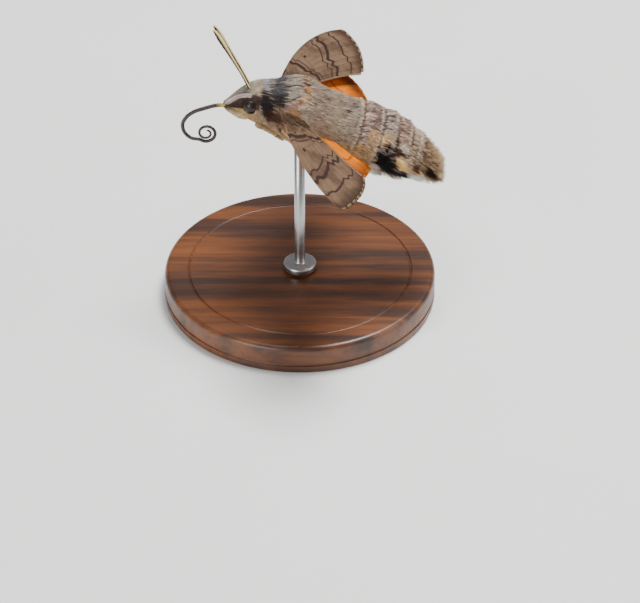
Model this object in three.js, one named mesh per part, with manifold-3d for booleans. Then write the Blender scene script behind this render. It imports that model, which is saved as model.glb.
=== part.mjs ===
// A life-size hummingbird hawk moth, held in its hovering pose on a plain display stand.
// Units are millimetres and +Z is up. The origin is the centre of the underside of the stand's base.
// The moth is built in a frame of its own: X runs from head to tail, -Y is its left side, +Z its back.
// That frame is then tipped head up and lifted onto the rod.
import * as THREE from "three";
import { mergeVertices } from "three/addons/utils/BufferGeometryUtils.js";
import Module from "manifold-3d";

const wasm = await Module();
wasm.setup();

const degrees = THREE.MathUtils.degToRad;
const vector = (p) => new THREE.Vector3(...p);
const range = (count) => Array.from({ length: count }, (_, i) => i);
const even = (count) => range(count).map((i) => i / (count - 1));

// The pose: head up by PITCH, with the middle of the thorax above the stand.
const PITCH = degrees(20.6);
const THORAX_HEIGHT = 30;
const THORAX_AHEAD = 1.35; // how far the thorax's middle is ahead of the rod

const GAP = 0.3; // between two nodes that meet
const CUT = 0.42; // how far a cutter stands off the body, whose ring edges rise 0.1

// The body's outline from face to tail: place, height of the middle, half width, half height.
const BODY = [
  [-8.15, -2.5, 0.3, 0.3],
  [-7.75, -2.3, 0.7, 0.65],
  [-7.1, -1.7, 1.2, 1.3],
  [-6.2, -1.1, 1.8, 2.05],
  [-5.2, -0.7, 2.3, 2.65],
  [-4.0, -0.53, 2.75, 2.97],
  [-2.7, -0.43, 3.25, 3.27],
  [-1.4, -0.25, 3.85, 3.7],
  [0.2, -0.1, 4.35, 4.25],
  [2.0, -0.2, 4.55, 4.4],
  [4.5, -0.7, 4.55, 4.35],
  [6.6, -0.75, 4.5, 4.35],
  [9.2, -0.62, 4.4, 4.28],
  [10.4, -0.4, 4.33, 4.35],
  [12.1, -0.55, 4.22, 4.0],
  [13.2, -0.5, 4.15, 4.05],
  [14.3, -0.6, 4.07, 3.9],
  [16.2, -0.8, 3.9, 3.45],
  [18.4, -1.27, 3.3, 2.78],
];
const NECK = -3.95; // the cut between head and thorax
const WAIST = 4.6; // the cut between thorax and abdomen
const RING_ENDS = [6.7, 9.2, 12.1, 14.2, 16.4]; // rear edges of the abdomen's rings
const TAIL_END = 18.1;

// The envelope of the tail brush, in the same columns, from its root to its tips.
const BRUSH = [
  [TAIL_END + GAP, -1.32, 3.2, 2.6],
  [19.3, -1.55, 3.35, 2.3],
  [20.4, -1.85, 3.4, 1.85],
  [21.4, -2.05, 3.2, 1.25],
  [22.2, -2.15, 2.9, 0.7],
];

// Solids

function solid(geometry) {
  const bare = geometry.clone();
  bare.deleteAttribute("normal");
  bare.deleteAttribute("uv");
  const merged = mergeVertices(bare, 1e-4);
  return new wasm.Manifold(
    new wasm.Mesh({
      numProp: 3,
      vertProperties: merged.attributes.position.array,
      triVerts: new Uint32Array(merged.index.array),
    }),
  );
}

// The largest closed surface of a made solid, as a geometry.
function geometryOf(made) {
  const pieces = made.decompose();
  const kept = pieces.reduce((best, piece) =>
    piece.volume() > best.volume() ? piece : best,
  );
  const mesh = kept.getMesh();
  const points = new Float32Array(mesh.vertProperties);
  return new THREE.BufferGeometry()
    .setAttribute("position", new THREE.BufferAttribute(points, 3))
    .setIndex(new THREE.BufferAttribute(new Uint32Array(mesh.triVerts), 1));
}

const joined = (geometries) => wasm.Manifold.union(geometries.map(solid));

function turnedOver(geometry) {
  const faces = geometry.index.array;
  for (let i = 0; i < faces.length; i += 3)
    [faces[i + 1], faces[i + 2]] = [faces[i + 2], faces[i + 1]];
  return geometry;
}

const mirrored = (geometry) => turnedOver(geometry.clone().scale(1, -1, 1));

// A geometry from points and faces, with its faces pointing out.
function closedMesh(points, faces) {
  const made = new THREE.BufferGeometry().setFromPoints(points).setIndex(faces);
  return solid(made).volume() < 0 ? turnedOver(made) : made;
}

// A closed surface through rings of as many points each, shut at both ends by a middle point.
function loft(rings) {
  const count = rings[0].length;
  const middle = (ring) =>
    ring.reduce((sum, p) => sum.add(p), new THREE.Vector3()).divideScalar(count);
  const end = (rings.length - 1) * count;
  const first = rings.length * count;
  const faces = range(count).flatMap((j) => {
    const k = (j + 1) % count;
    const strip = range(rings.length - 1).flatMap((i) => {
      const a = i * count;
      const b = a + count;
      return [a + j, a + k, b + k, a + j, b + k, b + j];
    });
    return [first, k, j, ...strip, first + 1, end + j, end + k];
  });
  const points = [...rings.flat(), middle(rings[0]), middle(rings.at(-1))];
  return closedMesh(points, faces);
}

// The columns of a table at x, along a smooth curve through its rows.
function along(table, x) {
  const last = table.length - 1;
  const above = table.findIndex((row) => row[0] > x);
  const i = above < 0 ? last - 1 : Math.max(above - 1, 0);
  const [a, b] = [table[i], table[i + 1]];
  const before = table[Math.max(i - 1, 0)];
  const after = table[Math.min(i + 2, last)];
  const span = b[0] - a[0];
  const t = THREE.MathUtils.clamp((x - a[0]) / span, 0, 1);
  return range(a.length - 1).map((column) => {
    const c = column + 1;
    const leaving = ((b[c] - before[c]) / (b[0] - before[0])) * span;
    const arriving = ((after[c] - a[c]) / (after[0] - a[0])) * span;
    return (
      a[c] * (2 * t ** 3 - 3 * t ** 2 + 1) +
      b[c] * (3 * t ** 2 - 2 * t ** 3) +
      leaving * (t ** 3 - 2 * t ** 2 + t) +
      arriving * (t ** 3 - t ** 2)
    );
  });
}

// A point on an outline at x, turned by angle from the right side (0) over the back (90 degrees)
// to the left side (180), and standing off the surface by extra.
function surfacePoint(outline, x, angle, extra = 0, share = 1) {
  const [height, halfWidth, halfHeight] = along(outline, x);
  return new THREE.Vector3(
    x,
    (halfWidth * share + extra) * Math.cos(angle),
    height + (halfHeight * share + extra) * Math.sin(angle),
  );
}

const ringAt = (outline, x, sides, extra = 0, share = 1) =>
  range(sides).map((j) =>
    surfacePoint(outline, x, (2 * Math.PI * j) / sides, extra, share),
  );

// A length of the body between two places.
const bodyLength = (from, to, steps, sides, extra = 0) =>
  loft(even(steps + 1).map((t) => ringAt(BODY, from + (to - from) * t, sides, extra)));

// A tube through points, with a radius at each.
function limb(points, radii, steps, sides) {
  const curve = new THREE.CatmullRomCurve3(points, false, "centripetal");
  const radiusAt = radii.map((r, i) => [i / (radii.length - 1), r]);
  const frames = curve.computeFrenetFrames(steps, false);
  return loft(
    even(steps + 1).map((t, i) => {
      const centre = curve.getPointAt(t);
      const [r] = along(radiusAt, t);
      return range(sides).map((j) => {
        const angle = (2 * Math.PI * j) / sides;
        return centre
          .clone()
          .addScaledVector(frames.normals[i], r * Math.cos(angle))
          .addScaledVector(frames.binormals[i], r * Math.sin(angle));
      });
    }),
  );
}

const grown = (radii) => radii.map((r) => r + GAP);

// A flat, tapered lock of hair scales that lies along an outline: at, turn and lift each hold the
// values at its root and tip, and its path bows away from the surface by bow half way.
const LOCK_PLACES = [0, 0.3, 0.65, 1];
const LOCK_WIDTHS = [0.75, 1, 0.85, 0.22];
const LOCK_DEPTHS = [1, 1, 0.85, 0.4];

function lock(outline, { at, turn, lift, bow = 0, width, depth = 0.55 }) {
  const mix = (pair, t) => pair[0] + (pair[1] - pair[0]) * t;
  const point = (t, sideways = 0) =>
    surfacePoint(
      outline,
      mix(at, t),
      degrees(mix(turn, t)) + sideways,
      mix(lift, t) + bow * Math.sin(Math.PI * t),
    );
  const step = 0.01;
  return loft(
    LOCK_PLACES.map((t, i) => {
      const centre = point(t);
      const forward = point(t + step).sub(point(t - step));
      const side = point(t, step).sub(point(t, -step)).normalize();
      const up = new THREE.Vector3().crossVectors(side, forward).normalize();
      const reach = (width * LOCK_WIDTHS[i]) / 2;
      const half = (depth * LOCK_DEPTHS[i]) / 2;
      return [
        centre.clone().addScaledVector(side, reach),
        centre.clone().addScaledVector(up, half),
        centre.clone().addScaledVector(side, -reach),
        centre.clone().addScaledVector(up, -half),
      ];
    }),
  );
}

const onBothSides = (geometries) => geometries.flatMap((g) => [g, mirrored(g)]);

// Seeded draws between -1 and 1, so that like pieces vary and every run is the same.
function drawer(seed) {
  let state = seed;
  return () => {
    state = (state * 1664525 + 1013904223) % 4294967296;
    return (2 * state) / 4294967296 - 1;
  };
}

// Nodes

const FINISH = {
  fur: { color: 0x8f8377, roughness: 0.9, metalness: 0 },
  eye: { color: 0x2a1a14, roughness: 0.15, metalness: 0 },
  scales: { color: 0xcfc3b0, roughness: 0.9, metalness: 0 },
  horn: { color: 0x2b211b, roughness: 0.45, metalness: 0 },
  forewing: { color: 0x6f6358, roughness: 0.8, metalness: 0 },
  hindwing: { color: 0xd9822b, roughness: 0.8, metalness: 0 },
  base: { color: 0x3a2a20, roughness: 0.4, metalness: 0 },
  rod: { color: 0xb8b8b8, roughness: 0.3, metalness: 1 },
};

function node(name, geometry, finish) {
  const mesh = new THREE.Mesh(geometry, new THREE.MeshStandardMaterial(FINISH[finish]));
  mesh.name = name;
  return mesh;
}

const moth = new THREE.Group();
moth.rotation.y = PITCH;
moth.position.set(-THORAX_AHEAD, 0, THORAX_HEIGHT);

function addPair(name, left, finish) {
  moth.add(node(`${name}_left`, left, finish));
  moth.add(node(`${name}_right`, mirrored(left), finish));
}

const FACE_END = BODY[0][0];
const headCutter = solid(bodyLength(FACE_END - GAP, NECK + 1, 12, 24, GAP));
const bodyCutter = solid(bodyLength(FACE_END, TAIL_END, 36, 28, CUT));

// Head: the front of the body, with a socket round each eye and a groove over each palp,
// one of the two blunt lobes that lie under the face on either side of the tongue

const EYE_RADIUS = 1.1;
const EYE_AT = [-4.95, -1.55, -0.75]; // the left eye's middle

const ball = (radius, sides) => {
  const sphere = new THREE.SphereGeometry(radius, sides, sides / 2).translate(...EYE_AT);
  sphere.deleteAttribute("normal");
  sphere.deleteAttribute("uv");
  return mergeVertices(sphere);
};

const PALP = [
  [-4.5, -1.0, -2.95],
  [-5.8, -1.05, -2.75],
  [-7.1, -0.9, -2.6],
  [-8.2, -0.62, -2.5],
].map(vector);
const PALP_RADII = [0.55, 0.7, 0.55, 0.22];
const hollows = onBothSides([
  ball(EYE_RADIUS + GAP, 14),
  limb(PALP, grown(PALP_RADII), 6, 8),
]);
const head = solid(bodyLength(FACE_END, NECK - GAP / 2, 10, 24));
moth.add(node("head", geometryOf(head.subtract(joined(hollows))), "fur"));
addPair("eye", ball(EYE_RADIUS, 16), "eye");

// Tongue: it leaves the face between the palps, arches down and ends in a flat coil

const COIL_MIDDLE = [-8.63, -7.82];
const COIL_RADIUS = 1.32;
const COIL_INNER = 0.42;
const COIL_START = degrees(-110);
const COIL_TURNS = 1.6;
const COIL_POINTS = 22;
const TONGUE_RADII = [0.28, 0.26, 0.22, 0.14];
const TONGUE_ARCH = [
  [-7.6, 0, -2.75],
  [-8.9, 0, -3.3],
  [-10.2, 0, -4.3],
  [-11.25, 0, -5.25],
  [-11.85, 0, -6.3],
  [-12.0, 0, -7.5],
  [-11.4, 0, -8.6],
  [-10.3, 0, -9.2],
].map(vector);
const coil = even(COIL_POINTS).map((t) => {
  const angle = COIL_START + 2 * Math.PI * COIL_TURNS * t;
  const r = COIL_RADIUS - (COIL_RADIUS - COIL_INNER) * t ** 1.2;
  return new THREE.Vector3(
    COIL_MIDDLE[0] + r * Math.cos(angle),
    0,
    COIL_MIDDLE[1] + r * Math.sin(angle),
  );
});
const tongue = solid(limb([...TONGUE_ARCH, ...coil], TONGUE_RADII, 52, 7));
moth.add(node("proboscis", geometryOf(tongue.subtract(headCutter)), "horn"));

const tongueRoom = solid(limb(TONGUE_ARCH.slice(0, 3), grown(TONGUE_RADII), 4, 8));
const palp = solid(limb(PALP, PALP_RADII, 7, 10)).subtract(tongueRoom);
addPair("palp", geometryOf(palp), "scales");

// Antennae: thin at the root, thickest near the end, with a small hooked tip

const ANTENNA = [
  [-5.5, -0.52, 0.7],
  [-7.6, -0.54, 2.8],
  [-9.8, -0.56, 4.85],
  [-12.0, -0.57, 6.85],
  [-12.95, -0.57, 7.65],
  [-13.35, -0.57, 7.8],
].map(vector);
const ANTENNA_RADII = [0.26, 0.25, 0.29, 0.37, 0.28, 0.08];
const antenna = solid(limb(ANTENNA, ANTENNA_RADII, 16, 8)).subtract(headCutter);
addPair("antenna", geometryOf(antenna), "horn");

// Legs, folded back and sunk to half their depth in grooves along the underside. Each joint is its
// place along the body, its turn in degrees from the middle of the belly towards the side,
// and how far it stands off the body's outline.

const LEG_RADII = [0.36, 0.4, 0.32, 0.28, 0.25];
const LEGS = {
  foreleg: [
    [-2.6, 20, -0.3],
    [-3.2, 40, 0.1],
    [-1.8, 48, 0.12],
    [-0.2, 42, 0.1],
    [1.0, 32, 0.1],
  ],
  midleg: [
    [-0.3, 64, -0.3],
    [0.3, 72, 0.1],
    [2.0, 58, 0.12],
    [4.4, 46, 0.1],
    [6.4, 38, 0.1],
  ],
  hindleg: [
    [1.6, 16, -0.3],
    [3.2, 22, 0.1],
    [5.6, 16, 0.12],
    [8.2, 14, 0.1],
    [10.6, 10, 0.1],
  ],
};
const grooves = [];
for (const [name, joints] of Object.entries(LEGS)) {
  const path = joints.map(([x, turn, off]) =>
    surfacePoint(BODY, x, degrees(270 - turn), off),
  );
  addPair(name, limb(path, LEG_RADII, 12, 7), "scales");
  grooves.push(limb(path, grown(LEG_RADII), 8, 6));
}
const legRoom = joined(onBothSides(grooves));

// Thorax, with the long shoulder locks that hang back over each wing's root

const SHOULDER = { count: 6, from: -2.9, length: 4.4, low: 150, high: 104, width: 1.75 };
const vary = drawer(7);

const shoulderLocks = even(SHOULDER.count).map((t) => {
  const angle = SHOULDER.low + (SHOULDER.high - SHOULDER.low) * t;
  const from = SHOULDER.from + 0.2 * vary();
  return lock(BODY, {
    at: [from, from + SHOULDER.length * (1 - 0.2 * t) + 0.2 * vary()],
    turn: [angle, angle + 3 + 2 * vary()],
    lift: [-0.4, 0.15],
    bow: 0.2,
    width: SHOULDER.width,
  });
});
const thorax = bodyLength(NECK + GAP / 2, WAIST - GAP / 2, 12, 26);
const furredThorax = joined([thorax, ...onBothSides(shoulderLocks)]);
moth.add(node("thorax", geometryOf(furredThorax.subtract(legRoom)), "fur"));

// Abdomen: rings with a raised rear edge, and a tuft low on each side of every later ring

const RING_RISE = 0.02;
const RING_SINK = 0.03;
const TUFTS = [
  { end: RING_ENDS[1], angles: [222, 232], length: 2.3 },
  { end: RING_ENDS[2], angles: [202, 213, 224, 234], length: 2.6 },
  { end: RING_ENDS[3], angles: [196, 209, 222, 235], length: 2.9 },
  { end: RING_ENDS[4], angles: [191, 205, 220, 234], length: 2.8 },
  { end: TAIL_END, angles: [198, 214, 230], length: 2.3 },
];

const sideLocks = TUFTS.flatMap(({ end, angles, length }) =>
  angles.map((angle) => {
    const from = Math.min(end - 1.5 + 0.25 * vary(), TAIL_END - 1.6);
    return lock(BODY, {
      at: [from, Math.min(from + length * (1 + 0.1 * vary()), TAIL_END + 0.2)],
      turn: [angle, angle + 3 * vary()],
      lift: [-0.5, 0.55 + 0.15 * vary()],
      bow: 0.25,
      width: 1.2,
    });
  }),
);
const ringStarts = [WAIST + GAP / 2, ...RING_ENDS];
const abdomen = loft(
  ringStarts.flatMap((start, i) => {
    const end = RING_ENDS[i] ?? TAIL_END;
    const lip = i === 0 ? 0 : 0.15;
    return [
      ringAt(BODY, start + lip, 24, 0, 1 - RING_SINK),
      ringAt(BODY, (start + end) / 2, 24),
      ringAt(BODY, end, 24, 0, 1 + RING_RISE),
    ];
  }),
);
const tailCutter = solid(loft(BRUSH.map(([x]) => ringAt(BRUSH, x, 24, CUT))));
const furredAbdomen = joined([abdomen, ...onBothSides(sideLocks)]).subtract(tailCutter);
moth.add(node("abdomen", geometryOf(furredAbdomen.subtract(legRoom)), "fur"));

// Tail brush: a core that reaches less than half way, under overlapping flat locks in tiers

const BRUSH_CORE = [
  [BRUSH[0][0], 1],
  [19.1, 0.8],
  [20.0, 0.45],
];
const BRUSH_TIERS = [
  { count: 6, from: 18.9, to: 21.4, lift: [-0.35, -0.15] },
  { count: 7, from: 18.7, to: 22.1, lift: [-0.6, -0.35] },
];

const brushCore = loft(
  BRUSH_CORE.map(([x, share]) => ringAt(BRUSH, x, 16, 0, share)),
);
const brushLocks = BRUSH_TIERS.flatMap(({ count, from, to, lift }, tier) =>
  even(count).flatMap((t) =>
    [1, -1].map((face) => {
      const across = 90 - face * 90 + face * (6 + 168 * t) + (tier ? 5 : 0);
      return lock(BRUSH, {
        at: [from, to + 0.35 * vary()],
        turn: [face * across, face * across + 4 * vary()],
        lift,
        width: 1.9,
        depth: 0.6,
      });
    }),
  ),
);
moth.add(node("tail_fan", geometryOf(joined([brushCore, ...brushLocks])), "fur"));

// Wings. In a wing's own plan, p runs out along the span and q back along the chord.
// A vein is its share of the way from leading to inner edge, and where it starts along the span.

const WING_THICKNESS = 0.5;
const EDGE_THICKNESS = 0.36;
const VEIN_RISE = 0.17;
const VEIN_HALF = 0.024; // of the way from leading to inner edge
const CELL_END = 0.45; // where the closed cell in the middle of a wing ends, at a cross vein
const CROSS_HALF = 0.016;
const FOREWING = {
  root: [-1.9, -2.9, 1.15],
  sweep: degrees(17),
  droop: degrees(1),
  incidence: degrees(2),
  apex: [20.5, 2.7],
  rear: [13.0, 8.6],
  rootChord: 2.4,
  bow: 0.5,
  hollow: 0.5,
  bulge: 0.75,
  rounding: 0.05,
  camber: 0.5,
  rows: 8,
  veins: [
    [0.05, 0],
    [0.17, 0],
    [0.3, CELL_END],
    [0.43, CELL_END],
    [0.56, CELL_END],
    [0.69, 0],
    [0.8, 0.3],
    [0.92, 0],
  ],
};
const HINDWING = {
  root: [1.3, -2.9, -0.15],
  sweep: degrees(12),
  droop: degrees(4),
  incidence: degrees(2),
  apex: [12.5, 1.5],
  rear: [6.4, 9.0],
  rootChord: 2.4,
  bow: 0.5,
  hollow: 0.2,
  bulge: 1.2,
  rounding: 0.07,
  camber: 0.3,
  rows: 6,
  veins: [
    [0.07, 0],
    [0.22, 0],
    [0.4, CELL_END],
    [0.58, 0],
    [0.75, 0.3],
    [0.9, 0],
  ],
};

// The plan of a wing: u from root to margin, v from leading edge to inner edge.
function wingPlan(wing, u, v) {
  const [apexP, apexQ] = wing.apex;
  const [rearP, rearQ] = wing.rear;
  const dip = Math.sin(Math.PI * u);
  const leadingQ = apexQ * u ** 3 - wing.bow * dip;
  const innerQ = wing.rootChord + (rearQ - wing.rootChord) * u - wing.hollow * dip;
  const chord = Math.hypot(apexP - rearP, rearQ - apexQ);
  const bulge = (wing.bulge * u ** 3 * Math.sin(Math.PI * v)) / chord;
  const corner = Math.max(1 - 7 * Math.min(v, 1 - v), 0) ** 2 * u ** 6;
  const p = apexP * u * (1 - v) + rearP * u * v + bulge * (rearQ - apexQ);
  const q = leadingQ * (1 - v) + innerQ * v + bulge * (apexP - rearP);
  return [p * (1 - wing.rounding * corner), q];
}

function wingPoint(wing, u, v, rise) {
  const [p, q] = wingPlan(wing, u, v);
  const [x, y, z] = wing.root;
  const arch = wing.camber * Math.sin(Math.PI * v) * u;
  return new THREE.Vector3(
    x + p * Math.sin(wing.sweep) + q * Math.cos(wing.sweep),
    y - p * Math.cos(wing.sweep) + q * Math.sin(wing.sweep),
    z + rise + arch - p * Math.sin(wing.droop) - q * Math.sin(wing.incidence),
  );
}

// A plate with the veins raised on both faces, which are split into triangles alike.
function wingPlate(wing) {
  const beside = [-1, 0, 1].map((n) => CELL_END + n * CROSS_HALF);
  const clear = even(wing.rows).filter((u) => Math.abs(u - CELL_END) > 2 * CROSS_HALF);
  const span = [...clear, ...beside].sort((a, b) => a - b);
  const columns = [
    [0, 2],
    ...wing.veins.flatMap(([v, start]) => [
      [v - VEIN_HALF, 2],
      [v, start],
      [v + VEIN_HALF, 2],
    ]),
    [1, 2],
  ];
  const cellRow = span.indexOf(CELL_END);
  const inCell = ([v]) => v > wing.veins[1][0] && v < wing.veins.at(-3)[0];
  const face = (side) =>
    span.flatMap((u, i) =>
      columns.map((column) => {
        const raised = u >= column[1] || (i === cellRow && inCell(column));
        const rise = raised && u > 0 ? VEIN_RISE * (1 - 0.5 * u) : 0;
        const skin = THREE.MathUtils.lerp(WING_THICKNESS, EDGE_THICKNESS, u ** 8);
        return wingPoint(wing, u, column[0], side * (skin / 2 + rise));
      }),
    );
  const width = columns.length;
  const under = span.length * width;
  const faces = range(span.length - 1).flatMap((i) =>
    range(width - 1).flatMap((j) => {
      const a = i * width + j;
      const b = a + width;
      const top = [a, b, b + 1, a, b + 1, a + 1];
      const bottom = [a, b + 1, b, a, a + 1, b + 1].map((k) => k + under);
      return [...top, ...bottom];
    }),
  );
  const rim = [
    ...range(width),
    ...range(span.length - 1).map((i) => (i + 2) * width - 1),
    ...range(width - 1).map((j) => under - 2 - j),
    ...range(span.length - 2).map((i) => (span.length - 2 - i) * width),
  ];
  rim.forEach((a, i) => {
    const b = rim[(i + 1) % rim.length];
    faces.push(a, b, under + b, a, under + b, under + a);
  });
  return closedMesh([...face(1), ...face(-1)], faces);
}

for (const [name, wing] of [
  ["forewing", FOREWING],
  ["hindwing", HINDWING],
])
  addPair(name, geometryOf(solid(wingPlate(wing)).subtract(bodyCutter)), name);

// The stand: a round base with a bevelled top edge, and one rod with a foot ring

const BASE_RADIUS = 18;
const BASE_HEIGHT = 4;
const BASE_BEVEL = 0.6;
const ROD_RADIUS = 0.7;
const ROD_TOP = THORAX_HEIGHT - 2; // inside the body, and cut off below it
const RING_RADIUS = 2.2;
const RING_HEIGHT = 0.9;

function turned(corners, sides) {
  const profile = corners.map(([r, z]) => new THREE.Vector2(r, z));
  return solid(new THREE.LatheGeometry(profile, sides).rotateX(Math.PI / 2));
}

const base = turned(
  [
    [0, 0],
    [BASE_RADIUS, 0],
    [BASE_RADIUS, BASE_HEIGHT - BASE_BEVEL],
    [BASE_RADIUS - BASE_BEVEL, BASE_HEIGHT],
    [0, BASE_HEIGHT],
  ],
  48,
);
const seat = BASE_HEIGHT + GAP;
const rod = turned(
  [
    [0, seat],
    [RING_RADIUS, seat],
    [RING_RADIUS, seat + RING_HEIGHT],
    [ROD_RADIUS, seat + RING_HEIGHT],
    [ROD_RADIUS, ROD_TOP],
    [0, ROD_TOP],
  ],
  20,
);
moth.updateMatrixWorld(true);
const placedBody = bodyLength(FACE_END, TAIL_END, 36, 28, CUT);
placedBody.applyMatrix4(moth.matrixWorld);

const part = new THREE.Group();
part.add(moth);
part.add(node("stand_base", geometryOf(base), "base"));
part.add(node("stand_rod", geometryOf(rod.subtract(solid(placedBody))), "rod"));

export default part;
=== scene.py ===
# %% [markdown]
# # A hummingbird hawk moth, held in its hover
#
# The real animal is a furry day-flying moth, about three centimetres long. Museums show it life-size on
# a small stand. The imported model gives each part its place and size, and this lesson makes the looks.
# The moth could be one carved mesh with painted hair, but close to, its coat is thousands of flat hair
# scales. So the body here is one smooth skin, and the coat is made of small solid blades that lie on it.

# %% The frame
import math

import bpy
import numpy as np
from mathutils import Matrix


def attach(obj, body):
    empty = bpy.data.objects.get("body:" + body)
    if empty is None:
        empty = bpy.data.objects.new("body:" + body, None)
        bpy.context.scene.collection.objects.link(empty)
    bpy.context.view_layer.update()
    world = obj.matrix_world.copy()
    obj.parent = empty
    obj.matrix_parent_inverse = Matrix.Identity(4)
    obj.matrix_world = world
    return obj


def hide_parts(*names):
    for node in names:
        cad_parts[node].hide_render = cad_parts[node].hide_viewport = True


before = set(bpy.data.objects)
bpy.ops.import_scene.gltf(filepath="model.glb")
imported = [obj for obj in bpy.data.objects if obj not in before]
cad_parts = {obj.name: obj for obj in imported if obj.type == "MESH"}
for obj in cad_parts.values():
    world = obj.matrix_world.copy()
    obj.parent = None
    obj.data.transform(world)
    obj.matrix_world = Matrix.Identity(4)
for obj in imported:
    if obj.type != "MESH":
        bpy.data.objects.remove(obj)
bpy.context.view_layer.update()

MM = 0.001
print("nodes in the frame:", len(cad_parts))

# %% [markdown]
# ## The camera
#
# The photograph looks at the moth's left side from well above, through a long lens. A camera far away
# with a narrow view gives the same flat perspective. Its lens is worked out from one scale: how much
# of the moth one pixel covers.

# %% Camera
PHOTO_WIDTH = 640
MM_PER_PIXEL = 0.13
CAMERA_DISTANCE = 600
CAMERA_DROP = math.radians(36)
SENSOR = 36
CAMERA_PLACE = np.array([2.68, -500.4, 362.1])

camera_data = bpy.data.cameras.new("photo_camera")
camera_data.sensor_width = SENSOR
camera_data.lens = CAMERA_DISTANCE / MM_PER_PIXEL * SENSOR / PHOTO_WIDTH
camera_data.clip_start = 0.01
camera = bpy.data.objects.new("photo_camera", camera_data)
camera.location = CAMERA_PLACE * MM
camera.rotation_euler = (math.pi / 2 - CAMERA_DROP, 0, 0)
bpy.context.scene.collection.objects.link(camera)
bpy.context.scene.camera = camera
print("lens in mm:", round(camera_data.lens, 1))

# %% [markdown]
# ## Light and floor
#
# Soft studio light needs large lamps: a big one above and a little behind, where the photograph's
# light comes from, and a weaker one on the camera's side. A dim pale world fills the shadows. A
# plain pale floor catches the stand's shadow.

# %% Light and floor
def lamp(name, place, aim, size, power):
    """A square area lamp at a place in metres, turned to look at the aim."""
    data = bpy.data.lights.new(name, "AREA")
    data.size = size
    data.energy = power
    made = bpy.data.objects.new(name, data)
    made.location = place
    way = np.array(aim) - np.array(place)
    flat = math.hypot(way[0], way[1])
    made.rotation_euler = (math.atan2(flat, -way[2]), 0, math.atan2(way[1], way[0]) - math.pi / 2)
    bpy.context.scene.collection.objects.link(made)


BODY_CENTRE = (0.002, 0, 0.028)
lamp("key_lamp", (0.12, 0.1, 0.55), BODY_CENTRE, 0.22, 6.0)
lamp("fill_lamp", (-0.35, -0.45, 0.25), BODY_CENTRE, 0.3, 2.2)
lamp("right_lamp", (0.5, -0.1, 0.25), BODY_CENTRE, 0.3, 0.8)

world = bpy.data.worlds.new("studio")
world.use_nodes = True
world.node_tree.nodes["Background"].inputs["Color"].default_value = (0.93, 0.95, 1.0, 1)
world.node_tree.nodes["Background"].inputs["Strength"].default_value = 0.34
bpy.context.scene.world = world

# %% [markdown]
# ## Shader helpers
#
# Every material is a small network of nodes. One helper adds a node and wires its inputs, so that a
# network reads like a list of steps. Colours are written as a screen shows them, from 0 to 255, and
# turned into the linear light that the shader works with. The render's tone curve pales colours, as
# film does, so each is made a little stronger first.

# %% Shader helpers
STRENGTH = 1.4


def light(*rgb):
    """Linear light from a screen colour: ((c + 0.055) / 1.055) to the power 2.4, pushed from its grey."""
    share = np.array(rgb, float) / 255
    linear = np.where(share > 0.04045, ((share + 0.055) / 1.055) ** 2.4, share / 12.92)
    grey = linear @ np.array([0.2126, 0.7152, 0.0722])
    return np.clip(grey + (linear - grey) * STRENGTH, 0.002, 0.95)


def add(tree, kind, inputs=None, **settings):
    """A new node with its settings made, and each input wired to a socket or set to a value."""
    node = tree.nodes.new(kind)
    for key, value in settings.items():
        setattr(node, key, value)
    for key, value in (inputs or {}).items():
        if isinstance(value, bpy.types.NodeSocket):
            tree.links.new(value, node.inputs[key])
        else:
            node.inputs[key].default_value = (*value, 1) if isinstance(value, np.ndarray) else value
    return node


def maths(tree, operation, a, b=0.0):
    """One step of arithmetic on two sockets or numbers."""
    return add(tree, "ShaderNodeMath", {0: a, 1: b}, operation=operation).outputs[0]


def times(tree, a, b):
    """The product of two sockets or numbers."""
    return maths(tree, "MULTIPLY", a, b)


def plus(tree, a, b):
    """The sum of two sockets or numbers."""
    return maths(tree, "ADD", a, b)


def minus(tree, a, b):
    """The first less the second."""
    return maths(tree, "SUBTRACT", a, b)


def mixed(tree, share, a, b):
    """Colour a going over to colour b by a share."""
    return add(tree, "ShaderNodeMix", {0: share, 6: a, 7: b}, data_type="RGBA").outputs[2]


def ramp(tree, share, low, high):
    """0 below low, 1 above high, smooth between."""
    node = add(tree, "ShaderNodeMapRange", {0: share, 1: low, 2: high}, interpolation_type="SMOOTHSTEP")
    return node.outputs[0]


def mark(tree, name, output="Fac"):
    """A value, or with output Color a colour, that the mesh carries at each point under a name."""
    return add(tree, "ShaderNodeAttribute", attribute_name=name).outputs[output]


def own_places(tree):
    """Places in the object's own coordinates, in metres."""
    return add(tree, "ShaderNodeTexCoord").outputs["Object"]


def noise(tree, places, scale, detail, roughness=0.5):
    """Cloudy noise from 0 to 1 on the places given."""
    inputs = {"Vector": places, "Scale": scale, "Detail": detail, "Roughness": roughness}
    return add(tree, "ShaderNodeTexNoise", inputs).outputs[0]


def stretched(tree, places, scale, **moved):
    """The places drawn out by a scale for each way."""
    return add(tree, "ShaderNodeMapping", {"Vector": places, "Scale": scale, **moved}).outputs[0]


def material(name, roughness, **shader_values):
    """A material with its Principled shader, whose plain numbers are set on the shader itself."""
    made = bpy.data.materials.new(name)
    made.use_nodes = True
    shader = made.node_tree.nodes["Principled BSDF"]
    shader.inputs["Roughness"].default_value = roughness
    for key, value in shader_values.items():
        shader.inputs[key.replace("_", " ")].default_value = value
    return made, made.node_tree, shader


def raised(tree, height, strength, distance, shader):
    """Height as a bump in the shader's normal."""
    bump = add(tree, "ShaderNodeBump", {"Height": height, "Strength": strength, "Distance": distance})
    tree.links.new(bump.outputs["Normal"], shader.inputs["Normal"])


# %% [markdown]
# ## One effect for all that is scaled or furred
#
# Wings, coat, legs and feelers are all covered with scales, and each scale is a little lighter or
# darker than its neighbour. This group makes that grain once: it takes a colour and gives it back
# flecked, with a roughness and a height that go with it. The noise is stretched along one way, as
# scales are longer than they are wide.

# %% Scale grain group
PITCH = math.radians(20.6)


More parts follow.
